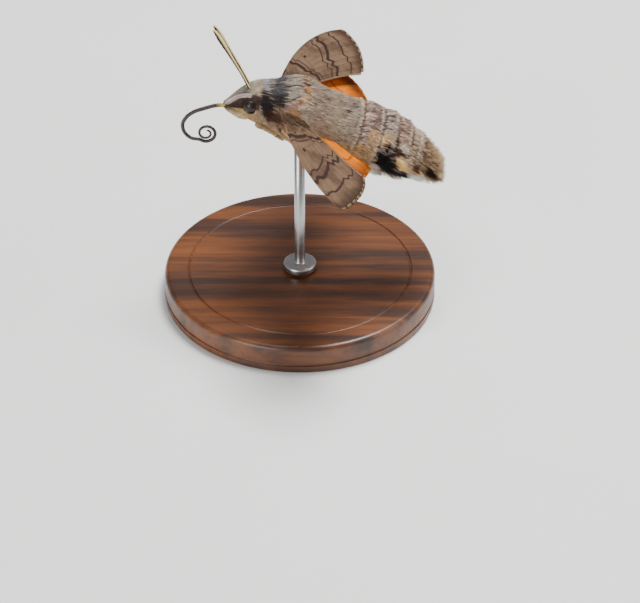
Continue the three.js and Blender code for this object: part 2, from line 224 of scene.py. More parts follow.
def node_group(name, takes, gives):
    """A new group with its sockets, of which Colour and Line carry colours and the rest numbers."""
    group = bpy.data.node_groups.new(name, "ShaderNodeTree")
    for names, in_out in ((takes, "INPUT"), (gives, "OUTPUT")):
        for socket in names:
            kind = "NodeSocketColor" if socket in ("Colour", "Line") else "NodeSocketFloat"
            group.interface.new_socket(socket, in_out=in_out, socket_type=kind)
    return group, group.nodes.new("NodeGroupInput").outputs, group.nodes.new("NodeGroupOutput").inputs


def scale_grain():
    """Noise stretched along the body lightens and darkens a colour, and is a height too."""
    group, given, end = node_group(
        "scale grain", ("Colour", "Length", "Fineness", "Contrast"), ("Colour", "Roughness", "Height"))
    turned = add(group, "ShaderNodeMapping", {"Vector": own_places(group), "Rotation": (0, -PITCH, 0)})
    apart = add(group, "ShaderNodeSeparateXYZ", {0: turned.outputs[0]}).outputs
    ways = {0: "Length", 1: "Fineness", 2: "Fineness"}
    drawn_out = {k: times(group, apart[k], given[name]) for k, name in ways.items()}
    grain = noise(group, add(group, "ShaderNodeCombineXYZ", drawn_out).outputs[0], 1.0, 3.0)
    gain = plus(group, times(group, minus(group, grain, 0.5), given["Contrast"]), 1.0)
    scaled = add(group, "ShaderNodeVectorMath", {0: given["Colour"], "Scale": gain}, operation="SCALE")
    group.links.new(scaled.outputs[0], end["Colour"])
    group.links.new(plus(group, times(group, grain, 0.3), 0.5), end["Roughness"])
    group.links.new(grain, end["Height"])
    return group


SCALE_GRAIN = scale_grain()


def grained(tree, shader, colour, length, fineness, contrast, bump):
    """Places the grain group, and wires its three outputs to the shader."""
    inputs = {"Colour": colour, "Length": length, "Fineness": fineness, "Contrast": contrast}
    node = add(tree, "ShaderNodeGroup", inputs, node_tree=SCALE_GRAIN)
    tree.links.new(node.outputs["Colour"], shader.inputs["Base Color"])
    tree.links.new(node.outputs["Roughness"], shader.inputs["Roughness"])
    raised(tree, node.outputs["Height"], bump, 0.0001, shader)


# %% [markdown]
# ## Surfaces as arrays
#
# A mesh is a list of points and a list of faces. Here both are numpy arrays that a formula fills at
# once, and `foreach_set` hands them to Blender. The moth is worked out in millimetres in a frame of
# its own, with X from head to tail, -Y its left side and +Z its back, then tipped head up and lifted.

# %% Making a mesh from arrays
THORAX_MIDDLE = np.array([-1.35, 0.0, 30.0])
MIRROR = np.array([1.0, -1.0, 1.0])
SIDES = (("left", np.ones(3)), ("right", MIRROR))
SIDEWAYS = np.array([0.0, 1.0, 0.0])


def placed(points):
    """The moth's frame to the model's: turned about Y by the pitch, then lifted, in metres."""
    x, y, z = np.moveaxis(points, -1, 0)
    cos, sin = math.cos(PITCH), math.sin(PITCH)
    return (np.stack([x * cos + z * sin, y, z * cos - x * sin], -1) + THORAX_MIDDLE) * MM


def standing(points):
    """Millimetres to metres, for what stands upright."""
    return points * MM


def turned_out(points, faces):
    """The faces, turned over if the volume that they close is less than nothing."""
    volume = 0.0
    for block in faces:
        a = points[block[:, 0]]
        for k in range(1, block.shape[1] - 1):
            volume += np.einsum("ij,ij->", a, np.cross(points[block[:, k]], points[block[:, k + 1]]))
    return faces if volume > 0 else [block[:, ::-1] for block in faces]


def new_piece(name, points, faces, finish, uv=None, marks=None, home=placed):
    """A mesh object from points, blocks of faces, and values for each point."""
    faces = turned_out(points, faces)
    corners = np.concatenate([block.ravel() for block in faces]).astype(np.int32)
    sizes = np.concatenate([np.full(len(block), block.shape[1]) for block in faces])
    starts = np.concatenate([[0], np.cumsum(sizes)[:-1]]).astype(np.int32)
    mesh = bpy.data.meshes.new(name)
    mesh.vertices.add(len(points))
    mesh.vertices.foreach_set("co", home(points).ravel().astype(np.float32))
    mesh.loops.add(len(corners))
    mesh.loops.foreach_set("vertex_index", corners)
    mesh.polygons.add(len(sizes))
    mesh.polygons.foreach_set("loop_start", starts)
    mesh.polygons.foreach_set("use_smooth", np.ones(len(sizes), bool))
    mesh.update(calc_edges=True)
    for key, values in (uv or {}).items():
        layer = mesh.uv_layers.new(name=key)
        layer.uv.foreach_set("vector", values[corners].ravel().astype(np.float32))
    for key, values in (marks or {}).items():
        if values.ndim == 2:
            values = np.concatenate([values, np.ones((len(values), 1))], 1)
            made = mesh.attributes.new(key, "FLOAT_COLOR", "POINT")
            made.data.foreach_set("color", values.ravel().astype(np.float32))
        else:
            made = mesh.attributes.new(key, "FLOAT", "POINT")
            made.data.foreach_set("value", values.astype(np.float32))
    mesh.validate()
    mesh.materials.append(finish)
    piece = bpy.data.objects.new(name, mesh)
    bpy.context.scene.collection.objects.link(piece)
    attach(piece, "root")
    print(f"{name}: {int((sizes - 2).sum())} triangles")
    return piece


def grid_faces(rows, columns, wrap=True):
    """The quads between neighbours of a grid of points, joined round when wrap is true."""
    i, j = np.meshgrid(np.arange(rows - 1), np.arange(columns if wrap else columns - 1), indexing="ij")
    k = (j + 1) % columns
    quads = [i * columns + j, i * columns + k, (i + 1) * columns + k, (i + 1) * columns + j]
    return np.stack(quads, -1).reshape(-1, 4)


def closed_rings(rings):
    """Points and faces of a tube through rings, shut at each end by a fan round a middle point."""
    rows, columns = rings.shape[:2]
    middles = rings[[0, -1]].mean(1)
    points = np.concatenate([rings.reshape(-1, 3), middles])
    j = np.arange(columns)
    k = (j + 1) % columns
    last = (rows - 1) * columns
    first_fan = np.stack([np.full(columns, rows * columns), k, j], -1)
    last_fan = np.stack([np.full(columns, rows * columns + 1), last + j, last + k], -1)
    return points, [grid_faces(rows, columns), first_fan, last_fan]


def along(table, x):
    """The columns of a table at x, on cubics whose slope at a row is the chord between its neighbours."""
    table = np.asarray(table, float)
    x = np.asarray(x, float)
    starts, values = table[:, 0], table[:, 1:]
    last = len(starts) - 1
    i = np.clip(np.searchsorted(starts, x, side="right") - 1, 0, last - 1)
    before, after = np.maximum(i - 1, 0), np.minimum(i + 2, last)
    span = starts[i + 1] - starts[i]
    t = np.clip((x - starts[i]) / span, 0, 1)[..., None]
    leaving = (values[i + 1] - values[before]) * (span / (starts[i + 1] - starts[before]))[..., None]
    arriving = (values[after] - values[i]) * (span / (starts[after] - starts[i]))[..., None]
    hold = values[i] * (2 * t**3 - 3 * t**2 + 1) + values[i + 1] * (3 * t**2 - 2 * t**3)
    return hold + leaving * (t**3 - 2 * t**2 + t) + arriving * (t**3 - t**2)


def unit(vectors):
    """Each vector at length one."""
    return vectors / np.maximum(np.linalg.norm(vectors, axis=-1, keepdims=True), 1e-12)


def sweep(centres, radii, sides, reference):
    """Rings round a path. Each ring's side way is square to the path and to a reference way."""
    tangent = unit(np.gradient(centres, axis=0))
    side = unit(np.cross(tangent, np.broadcast_to(reference, tangent.shape)))
    up = np.cross(side, tangent)
    turn = 2 * np.pi * np.arange(sides) / sides
    radii = radii[:, None] if np.ndim(radii) == 1 else radii
    ways = np.cos(turn)[None, :, None] * side[:, None] + np.sin(turn)[None, :, None] * up[:, None]
    return centres[:, None] + radii[..., None] * ways


def smooth_path(points, count):
    """Evenly spread places on a smooth curve through points, timed by the root of the steps' lengths."""
    points = np.asarray(points, float)
    steps = np.sqrt(np.linalg.norm(np.diff(points, axis=0), axis=1))
    starts = np.concatenate([[0], np.cumsum(steps)])
    fine = along(np.column_stack([starts, points]), np.linspace(0, starts[-1], 40 * len(points)))
    walked = np.concatenate([[0], np.cumsum(np.linalg.norm(np.diff(fine, axis=0), axis=1))])
    places = np.linspace(0, walked[-1], count)
    return np.stack([np.interp(places, walked, fine[:, c]) for c in range(3)], -1)


# %% [markdown]
# ## The body's outline
#
# A moth's body is round in section, so a few rows of numbers hold it: place along the body, height of
# the middle, half width and half height out to the tips of the coat. The skin lies a coat's depth
# inside that, deeper on the chest than on the face. Each ring of the abdomen swells a little towards
# its rear edge, where its scales stand over the next ring.

# %% Outline and skin depth
BODY = [
    [-8.15, -2.5, 0.3, 0.3],
    [-7.75, -2.3, 0.7, 0.65],
    [-7.1, -1.7, 1.2, 1.3],
    [-6.2, -1.1, 1.8, 2.05],
    [-5.2, -0.7, 2.3, 2.65],
    [-4.0, -0.53, 2.75, 2.97],
    [-2.7, -0.43, 3.25, 3.27],
    [-1.4, -0.25, 3.85, 3.7],
    [0.2, -0.1, 4.35, 4.25],
    [2.0, -0.2, 4.55, 4.4],
    [4.5, -0.7, 4.55, 4.35],
    [6.6, -0.75, 4.5, 4.35],
    [9.2, -0.62, 4.4, 4.28],
    [10.4, -0.4, 4.33, 4.35],
    [12.1, -0.55, 4.22, 4.0],
    [13.2, -0.5, 4.15, 4.05],
    [14.3, -0.6, 4.07, 3.9],
    [16.2, -0.8, 3.9, 3.45],
    [18.4, -1.27, 3.3, 2.78],
    [19.3, -1.55, 3.35, 2.3],
    [20.4, -1.85, 3.4, 1.85],
    [21.4, -2.05, 3.2, 1.25],
    [22.2, -2.15, 2.9, 0.7],
]
FACE_END, SKIN_END = -8.15, 20.3
RING_ENDS = np.array([4.6, 6.7, 9.2, 12.1, 14.2, 16.4, 18.2])
COAT_DEPTH = [
    [-8.15, 0.06],
    [-7.0, 0.1],
    [-5.2, 0.16],
    [-4.0, 0.3],
    [-2.4, 0.5],
    [1.0, 0.55],
    [4.6, 0.5],
    [7.0, 0.4],
    [13.8, 0.35],
    [16.1, 0.45],
    [18.4, 0.8],
    [19.4, 1.15],
    [20.3, 1.6],
]
RING_SWELL = 0.22
SWELL_FROM, SWELL_OVER = 7.4, 2.5
STEP_SHARE = 0.08  # the last share of a ring, where the skin steps down to the next


def ring_share(x):
    """How far x is through its ring of the abdomen, from 0 at its front edge to 1 at its rear."""
    i = np.clip(np.searchsorted(RING_ENDS, x, side="right"), 1, len(RING_ENDS) - 1)
    share = (x - RING_ENDS[i - 1]) / (RING_ENDS[i] - RING_ENDS[i - 1])
    return np.where((x > RING_ENDS[0]) & (x < RING_ENDS[-1]), share, 0.5)


def skin_level(x):
    """How far the skin stands off the outline: minus the coat's depth, plus the swell of its ring."""
    share = ring_share(x)
    step_down = np.clip((1 - share) / STEP_SHARE, 0, 1)
    swell = RING_SWELL * (share**1.5 - 0.45) * step_down
    strength = np.clip((x - SWELL_FROM) / SWELL_OVER, 0, 1) * (x < RING_ENDS[-1])
    return swell * strength - along(COAT_DEPTH, x)[..., 0]


def on_body(x, angle, off):
    """A point of the outline at x, turned from the right side (0) over the back, standing off by off."""
    middle, half_width, half_height = np.moveaxis(along(BODY, x), -1, 0)
    y = (half_width + off) * np.cos(angle)
    z = middle + (half_height + off) * np.sin(angle)
    return np.stack([np.broadcast_to(x, y.shape), y, z], -1)


def from_back(angle):
    """Degrees down from the middle of the back, 0 to 180, the same on both sides."""
    return np.abs((np.degrees(angle) - 90 + 180) % 360 - 180)


# %% [markdown]
# ## Markings
#
# Skin and coat carry the same colours, so the colours are one function of two things: the place along
# the body and how far down the side. Each marking is a soft-edged patch, laid over those before it.
# A picture could be wrapped round instead, but it would smear on hair that stands off the skin.

# %% The moth's colours
BACK = light(178, 162, 148)
GREY_BEIGE = light(168, 156, 142)
CROWN = light(126, 123, 114)
SHOULDER = light(90, 87, 88)
PALE_GREY = light(146, 141, 132)
LILAC = light(156, 155, 157)
DARK_SIDE = light(54, 49, 48)
BROW = light(190, 175, 168)
CREAM = light(228, 208, 178)
MASK = light(80, 68, 64)
CHEST = light(196, 170, 144)
RUST = light(94, 66, 52)
BLACK = light(16, 11, 12)
WHITE = light(255, 251, 244)
YELLOW_CREAM = light(230, 196, 150)
DARK_BROWN = light(50, 32, 28)
TAIL = light(172, 150, 128)
PEACH = light(238, 206, 182)
PALE_RIM = light(228, 214, 200)

PATCHES = [
    # x, degrees from the back, half length, half breadth in degrees, mm of x to each degree, colour, share
    (3.0, 180, 10.0, 85, 0, CHEST, 0.95),
    (-6.4, 150, 3.2, 68, 0, light(208, 182, 150), 1.0),
    (-6.6, 0, 1.9, 62, 0, CROWN, 1.0),
    (-4.9, 20, 0.75, 60, 0, GREY_BEIGE, 1.0),
    (-4.7, 32, 0.4, 10, 0, light(190, 170, 158), 0.7),
    (-3.9, 4, 0.5, 38, 0.006, LILAC, 1.0),
    (-1.7, 0, 1.9, 60, 0, PALE_GREY, 0.9),
    (-2.35, 32, 1.15, 30, 0, SHOULDER, 1.0),
    (-2.3, 16, 1.1, 13, 0, SHOULDER, 1.0),
    (-3.3, 68, 0.85, 38, 0.017, DARK_SIDE, 1.0),
    (-1.9, 51, 1.1, 14, 0, DARK_SIDE, 1.0),
    (-2.5, 7, 1.0, 2.4, 0, DARK_SIDE, 0.85),
    (-0.3, 13, 0.95, 2.0, 0, DARK_SIDE, 0.85),
    (-0.2, 41, 0.22, 9, -0.09, DARK_SIDE, 0.8),
    (0.9, 6, 0.55, 4.5, 0, RUST, 0.9),
    (1.1, 21, 0.55, 5, 0, RUST, 0.95),
    # Painted highlight: an orange-tan spot of light on the second rust tuft.
    (1.35, 19, 0.5, 5, 0, light(206, 162, 128), 0.7),
    (1.3, 40, 0.55, 9, 0, light(204, 176, 150), 0.6),
    (0.6, 45, 0.35, 5, 0, light(126, 82, 64), 0.85),
    (0.0, 56, 0.9, 6, 0, light(158, 128, 122), 0.6),
    (-1.7, 88, 1.3, 14, 0, light(78, 54, 48), 0.85),
    (-1.0, 68, 0.8, 3.4, -0.02, light(236, 206, 182), 1.0),
    (0.4, 68, 1.0, 9, 0, light(196, 160, 124), 0.7),
    (0.0, 74, 0.22, 7, -0.19, light(118, 84, 66), 0.8),
    (0.5, 76, 0.22, 7, -0.19, light(216, 178, 146), 0.8),
    (0.1, 84, 0.22, 7, -0.19, light(112, 80, 64), 0.8),
    (-0.5, 116, 0.16, 14, 0.06, light(74, 48, 36), 0.8),
    (-4.0, 86, 0.08, 26, 0.0155, light(176, 162, 148), 0.8),
    (-3.2, 108, 0.1, 14, 0.045, CREAM, 0.9),
    (-2.75, 108, 0.09, 14, 0.045, CREAM, 0.7),
    (7.65, 8, 0.9, 10, 0, light(134, 120, 113), 0.7),
    (4.3, 13, 0.3, 2.4, 0, light(90, 82, 78), 0.85),
    (7.3, 25, 0.38, 3.0, 0, light(66, 54, 52), 0.95),
    (8.95, 25, 0.16, 5, 0, light(52, 38, 36), 0.9),
    (10.5, 13, 0.75, 5, 0, light(124, 102, 100), 0.75),
    (11.4, 24, 0.35, 8, 0, light(124, 104, 100), 0.75),
    (10.5, 33, 1.1, 3, 0, light(112, 96, 90), 0.75),
    (10.05, 22, 0.6, 5, 0, light(204, 176, 162), 0.7),
    (11.4, 61, 1.0, 16, 0, light(216, 184, 148), 0.7),
    (13.1, 61, 0.85, 15, 0, light(222, 192, 158), 0.85),
    (10.2, 100, 2.6, 24, 0, light(192, 158, 124), 0.7),
    (14.6, 61, 0.36, 17, 0, DARK_BROWN, 0.9),
    (16.1, 61, 1.0, 9, 0, light(216, 200, 182), 0.9),
    (15.4, 73, 0.8, 6, 0, DARK_BROWN, 0.9),
    (14.75, 110, 1.25, 43, 0.03, BLACK, 1.0),
    (16.35, 93, 0.66, 13, 0.03, YELLOW_CREAM, 1.0),
    (17.2, 128, 0.95, 19, 0.04, BLACK, 1.0),
    (18.85, 98, 0.8, 11, 0.03, PEACH, 0.95),
    (18.2, 89, 0.6, 8, 0.02, light(84, 54, 44), 1.0),
    (19.1, 125, 1.2, 18, -0.02, WHITE, 1.0),
    (20.35, 82, 1.1, 17, 0.015, DARK_BROWN, 1.0),
    (21.9, 64, 0.6, 16, 0, light(238, 216, 180), 0.9),
    (12.6, 148, 1.6, 13, 0, WHITE, 1.0),
    (16.0, 150, 1.3, 11, 0, WHITE, 1.0),
    # Painted highlight: a pale patch on the top of the back near the tail, where the light from above
    # falls.
    (17.6, 4, 0.8, 30, 0, light(222, 206, 190), 0.6),
]
# A band's rows are x, degrees from the back, and half breadth in degrees.
BROW_BAND = [
    [-8.15, 60, 30], [-7.65, 54, 33], [-7.2, 44, 21], [-6.8, 43, 13], [-6.3, 45, 9.5], [-5.4, 52, 7.2],
]
MASK_BAND = [
    [-7.9, 95, 9], [-7.2, 92, 24], [-6.4, 77, 28], [-5.6, 73, 25], [-5.0, 74, 27], [-4.1, 72, 18],
]
BROW_LINE = (-7.6, -5.72)  # where the dark line over the brow starts and ends
RING_TONES = np.array([
    light(172, 159, 142), light(170, 157, 144), light(178, 160, 150),
    light(180, 166, 156), light(190, 168, 154), light(186, 166, 148),
])
TAIL_FROM, TAIL_OVER = 17.6, 1.2
MOTTLE_CONTRAST = 0.75
DASHES = (9, 21.5)  # where the back's dark dashes start and end, which reach DASHES_DOWN degrees down
DASHES_DOWN = 98
RINGS_FROM, RINGS_TO = 9, 18
GAP_SHADE = light(92, 74, 64)


def soft(distance, edge):
    """1 inside a patch, 0 outside it, with a smooth edge about distance 1."""
    t = np.clip((1 + edge - distance) / (2 * edge), 0, 1)
    return t * t * (3 - 2 * t)


def band_at(x, rows):
    """The middle and half breadth at x of a stripe along the body, straight between its rows."""
    return (np.interp(x, *np.array(rows)[:, [0, k]].T) for k in (1, 2))


def band(x, down, rows, edge):
    """A stripe along the body between its first and last rows."""
    middle, half = band_at(x, rows)
    return soft(np.abs(down - middle) / half, edge) * (x > rows[0][0]) * (x < rows[-1][0])


def laid(colour, cover, over):
    """One colour laid over another by its cover."""
    return colour * (1 - cover[..., None]) + over * cover[..., None]


STREAK_TABLE = np.random.default_rng(71).random((64, 64))


def streaks(x, angle, length, breadth):
    """Smooth chance values from 0 to 1, drawn out along the body, breadth given in degrees."""
    u, v = x / length + 20, (np.degrees(angle) / breadth) % 64
    i, j = np.floor(u).astype(int), np.floor(v).astype(int)
    s, t = u - i, v - j
    s, t = s * s * (3 - 2 * s), t * t * (3 - 2 * t)
    corner = STREAK_TABLE[i % 64, j % 64], STREAK_TABLE[(i + 1) % 64, j % 64]
    beyond = STREAK_TABLE[i % 64, (j + 1) % 64], STREAK_TABLE[(i + 1) % 64, (j + 1) % 64]
    near = corner[0] * (1 - s) + corner[1] * s
    return near * (1 - t) + (beyond[0] * (1 - s) + beyond[1] * s) * t


def markings(x, angle):
    """The coat's colour: a ground tone, each ring's tone, painted shade at the ring gaps, the patches one
    over another, then the face.
    """
    down = from_back(angle)
    ring = np.clip(np.searchsorted(RING_ENDS, x) - 1, 0, len(RING_TONES) - 1)
    in_rings = np.clip((x - RING_ENDS[0]) / 2, 0, 1)
    colour = laid(BACK, in_rings, RING_TONES[ring])
    colour = laid(colour, np.clip((x - TAIL_FROM) / TAIL_OVER, 0, 1), TAIL)
    mottle = streaks(x, angle, 1.1, 4) * 0.4 + streaks(x + 7, angle, 0.4, 4) * 0.6
    colour = colour * (1 + MOTTLE_CONTRAST * (mottle - 0.5))[..., None]
    rare = 5.6 - 0.8 * np.clip((x - 11) / 2, 0, 1)
    dash = soft(streaks(x, angle, 0.55, 1.6) * -6 + rare, 0.5)
    dash = dash * (x > DASHES[0]) * (x < DASHES[1]) * (down < DASHES_DOWN)
    colour = laid(colour, 0.7 * dash, DARK_BROWN)
    share = ring_share(x)
    # Painted shade: the front of each ring is darkened as the shadow under the fringe of the ring before.
    # The pale rim at each ring's rear is the fringe's own colour.
    ring_gap_shade = soft(share / 0.12, 0.5) * (x > RINGS_FROM) * (x < RINGS_TO)
    rim = soft((1 - share) / 0.04, 0.6) * (x > RINGS_FROM - 1) * (x < RINGS_TO) * soft(down / 95, 0.3)
    colour = laid(laid(colour, 0.6 * ring_gap_shade, GAP_SHADE), 0.5 * rim, PALE_RIM)
    wobble = 0.9 * (streaks(x + 3, angle, 0.7, 2.2) - 0.5) * np.clip((x + 5.4) / 2, 0.25, 1)
    for place, turn, half_length, half_breadth, slant, tint, cover in PATCHES:
        distance = np.hypot((x - place - slant * (down - turn)) / half_length, (down - turn) / half_breadth)
        colour = laid(colour, cover * soft(distance + wobble, 0.3), tint * (0.8 + 0.4 * mottle)[..., None])
    colour = laid(colour, band(x, down, MASK_BAND, 0.15), MASK)
    middle, half = band_at(x, BROW_BAND)
    line = soft(np.abs(down - middle + half + 3) / 3.5, 0.4) * (x > BROW_LINE[0]) * (x < BROW_LINE[1])
    colour = laid(colour, 0.75 * line, MASK)
    return laid(colour, band(x, down, BROW_BAND, 0.12), BROW)


# %% [markdown]
# ## The skin
#
# One closed skin runs from the face to the end of the abdomen, so no seam shows between head, thorax
# and rings. It is a grid: one way along the body, the other way round it. Under the coat it needs only
# the body's form and the rings' steps, and its fine down is a bump.

# %% The skin's finish
skin_finish, tree, shader = material("skin with fine down", 0.85, Specular_IOR_Level=0.1)
grained(tree, shader, mark(tree, "coat", "Color"), 900.0, 9000.0, 0.7, 0.6)

# %% The skin
SKIN_ROWS, SKIN_SIDES = 320, 136
# Painted shade: the skin's colour is darkened to stand for the shade between the blades.
SKIN_SHADE = 0.45  # the skin shows only as the dark between blades
EYE_RADIUS = 1.1
EYES = np.array([[-4.95, -1.55, -0.75], [-4.95, 1.55, -0.75]])

skin_x = FACE_END + (SKIN_END - FACE_END) * np.linspace(0, 1, SKIN_ROWS) ** 1.04
skin_turn = 2 * np.pi * np.arange(SKIN_SIDES) / SKIN_SIDES
grid_x, grid_turn = np.meshgrid(skin_x, skin_turn, indexing="ij")
skin_rings = on_body(grid_x, grid_turn, skin_level(grid_x))
skin_points, skin_faces = closed_rings(skin_rings)
skin_colours = np.concatenate([markings(grid_x, grid_turn).reshape(-1, 3) * SKIN_SHADE, [MASK, MASK]])
skin = new_piece("skin", skin_points, skin_faces, skin_finish, marks={"coat": skin_colours})
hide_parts("head", "thorax", "abdomen", "tail_fan")

# %% [markdown]
# ## Blades
#
# A hair scale is a flat blade with a low ridge, wide in the middle and drawn out to a point. One
# function makes any number of them at once: it takes each blade's middle line at three or four places
# and the way across it, and returns closed blades of ten or sixteen triangles. Every blade gets a
# small patch of the coat's own map, at its root's place, so that its colour can be baked.

# %% Blades
LONG = np.array([0.0, 0.36, 0.72, 1.0])
SHORT = np.array([0.0, 0.5, 1.0])
BLADE_WIDTHS = {4: np.array([0.6, 1.0, 0.72]), 3: np.array([0.75, 1.0])}
BLADE_RIDGE = 0.34
UV_PATCH, UV_MARGIN = 0.003, 0.005
SIDE_FACES = np.array([[0, 1, 4], [0, 4, 3], [1, 2, 5], [1, 5, 4], [2, 0, 3], [2, 3, 5]])
TIP_FACES = np.array([[0, 1, 3], [1, 2, 3], [2, 0, 3]])


def on_map(u, v):
    """A root's place on the coat's map: its two shares of the way over the skin, inside a margin."""
    return UV_MARGIN + (1 - 2 * UV_MARGIN) * np.stack([u, v], -1)


def blades(middles, across, width, root_uv, root_colour, tip_colour):
    """Along its middle line a blade is triangles: one way across, a ridge, the other way. Then a point."""
    count, rings = len(middles), middles.shape[1] - 1
    half = (width[:, None] * BLADE_WIDTHS[rings + 1])[..., None] / 2
    tangent = unit(np.gradient(middles, axis=1))[:, :-1]
    across = across[:, :-1]
    ridge = unit(np.cross(across, tangent))
    stations = middles[:, :-1]
    top = stations + ridge * half * 2 * BLADE_RIDGE
    ring = np.stack([stations - across * half, top, stations + across * half], 2)
    points = np.concatenate([ring.reshape(count, 3 * rings, 3), middles[:, -1:]], 1)
    sides = [SIDE_FACES + 3 * k for k in range(rings - 1)]
    one_blade = np.concatenate([[[0, 2, 1]], *sides, TIP_FACES + 3 * (rings - 1)])
    faces = one_blade[None] + (3 * rings + 1) * np.arange(count)[:, None, None]
    share = np.append(np.repeat((LONG if rings == 3 else SHORT)[:-1], 3), 1.0)
    sideways = np.array([0, 0.5, 1] * rings + [0.5])
    uv = root_uv[:, None] + UV_PATCH * (np.stack([sideways, share], -1)[None] - 0.5)
    share = share[None, :, None]
    colours = root_colour[:, None] * (1 - share) + tip_colour[:, None] * share
    return points.reshape(-1, 3), faces.reshape(-1, 3), uv.reshape(-1, 2), colours.reshape(-1, 3)


# %% [markdown]
# ## Fur that follows the body
#
# Each blade starts just under the skin and runs back along the body, a set height above it, so it
# bends with the body's curve and never cuts through it. Its tip rises to the outline of the coat.
# Chance varies every blade's length, way, width, lift and tone, from one seeded source, because
# a coat of equal hairs looks like a brush. Blades that would cross an eye or a leg are dropped.

# %% Legs' paths
LEGS = {
    "foreleg": [[-2.6, 20, -0.3], [-3.2, 40, 0.1], [-1.8, 48, 0.12], [-0.2, 42, 0.1], [1.0, 32, 0.1]],
    "midleg": [[-0.3, 64, -0.3], [0.3, 72, 0.1], [2.0, 58, 0.12], [4.4, 46, 0.1], [6.4, 38, 0.1]],
    "hindleg": [[1.6, 16, -0.3], [3.2, 22, 0.1], [5.6, 16, 0.12], [8.2, 14, 0.1], [10.6, 10, 0.1]],
}


def leg_path(joints, count):
    """A smooth curve through joints given by place, degrees from the belly's middle, and stand-off."""
    places = np.array([on_body(np.array(x), math.radians(270 - turn), off) for x, turn, off in joints])
    return smooth_path(places, count)


leg_paths = {name: leg_path(joints, 60) for name, joints in LEGS.items()}
leg_spots = np.concatenate([path[::3] * flip for path in leg_paths.values() for _, flip in SIDES])

# %% Fur
CHANCE = np.random.default_rng(3665)
COMB = -0.35  # radians by which the fur is turned round the wing's root
COMB_MIDDLE, COMB_SIZE = (-0.4, 76), (2.4, 24)  # each x, and degrees from the back
ROOT_SINK = 0.12  # how far below the skin a blade starts
LEG_CLEARANCE = 0.36
DARK_TONE, PALE_TONE, PALE_SHARE = 0.5, 1.35, 0.07
coat_finish, tree, shader = material("hair scales", 0.6, Specular_IOR_Level=0.12)
grained(tree, shader, mark(tree, "coat", "Color"), 1500.0, 9000.0, 0.5, 0.35)


def clear_of(points, spots, distance):
    """True for each blade whose points all keep a distance from every spot."""
    keep = np.ones(len(points), bool)
    for spot in spots:
        keep &= (np.linalg.norm(points - spot, axis=-1) > distance).all(1)
    return keep


def tint(colour, spread, dark_share, count):
    """Each blade's own colour: the marking times a random tone, with a few dark and a few pale ones."""
    tone = np.exp(CHANCE.normal(0, spread, count))
    tone *= np.where(CHANCE.random(count) < dark_share, DARK_TONE, 1)
    tone *= np.where(CHANCE.random(count) < PALE_SHARE, PALE_TONE, 1)
    warmth = 1 + CHANCE.normal(0, 0.04, (count, 1)) * np.array([1.0, 0.0, -1.0])
    return np.clip(colour * tone[:, None] * warmth, 0, 0.95)


CLUMP_CHANCE = np.random.default_rng(12).random((3, 128, 128))


def clump_of(x, arc, length, breadth):
    """The middle of the clump that a root belongs to, as steps from the root, and the clump's tone."""
    i, j = np.floor(x / length).astype(int), np.floor(arc / breadth).astype(int)
    shift_x, shift_arc, tone = CLUMP_CHANCE[:, i % 128, j % 128]
    middle_x, middle_arc = (i + 0.2 + 0.6 * shift_x) * length, (j + 0.2 + 0.6 * shift_arc) * breadth
    return middle_x - x, middle_arc - arc, tone


def coat_piece(name, made, flip=1):
    """A piece from what blades() gives back, on the left side or flipped to the right."""
    points, faces, uv, colours = made
    new_piece(name, points * flip, [faces], coat_finish, uv={"OFBake": uv}, marks={"coat": colours})


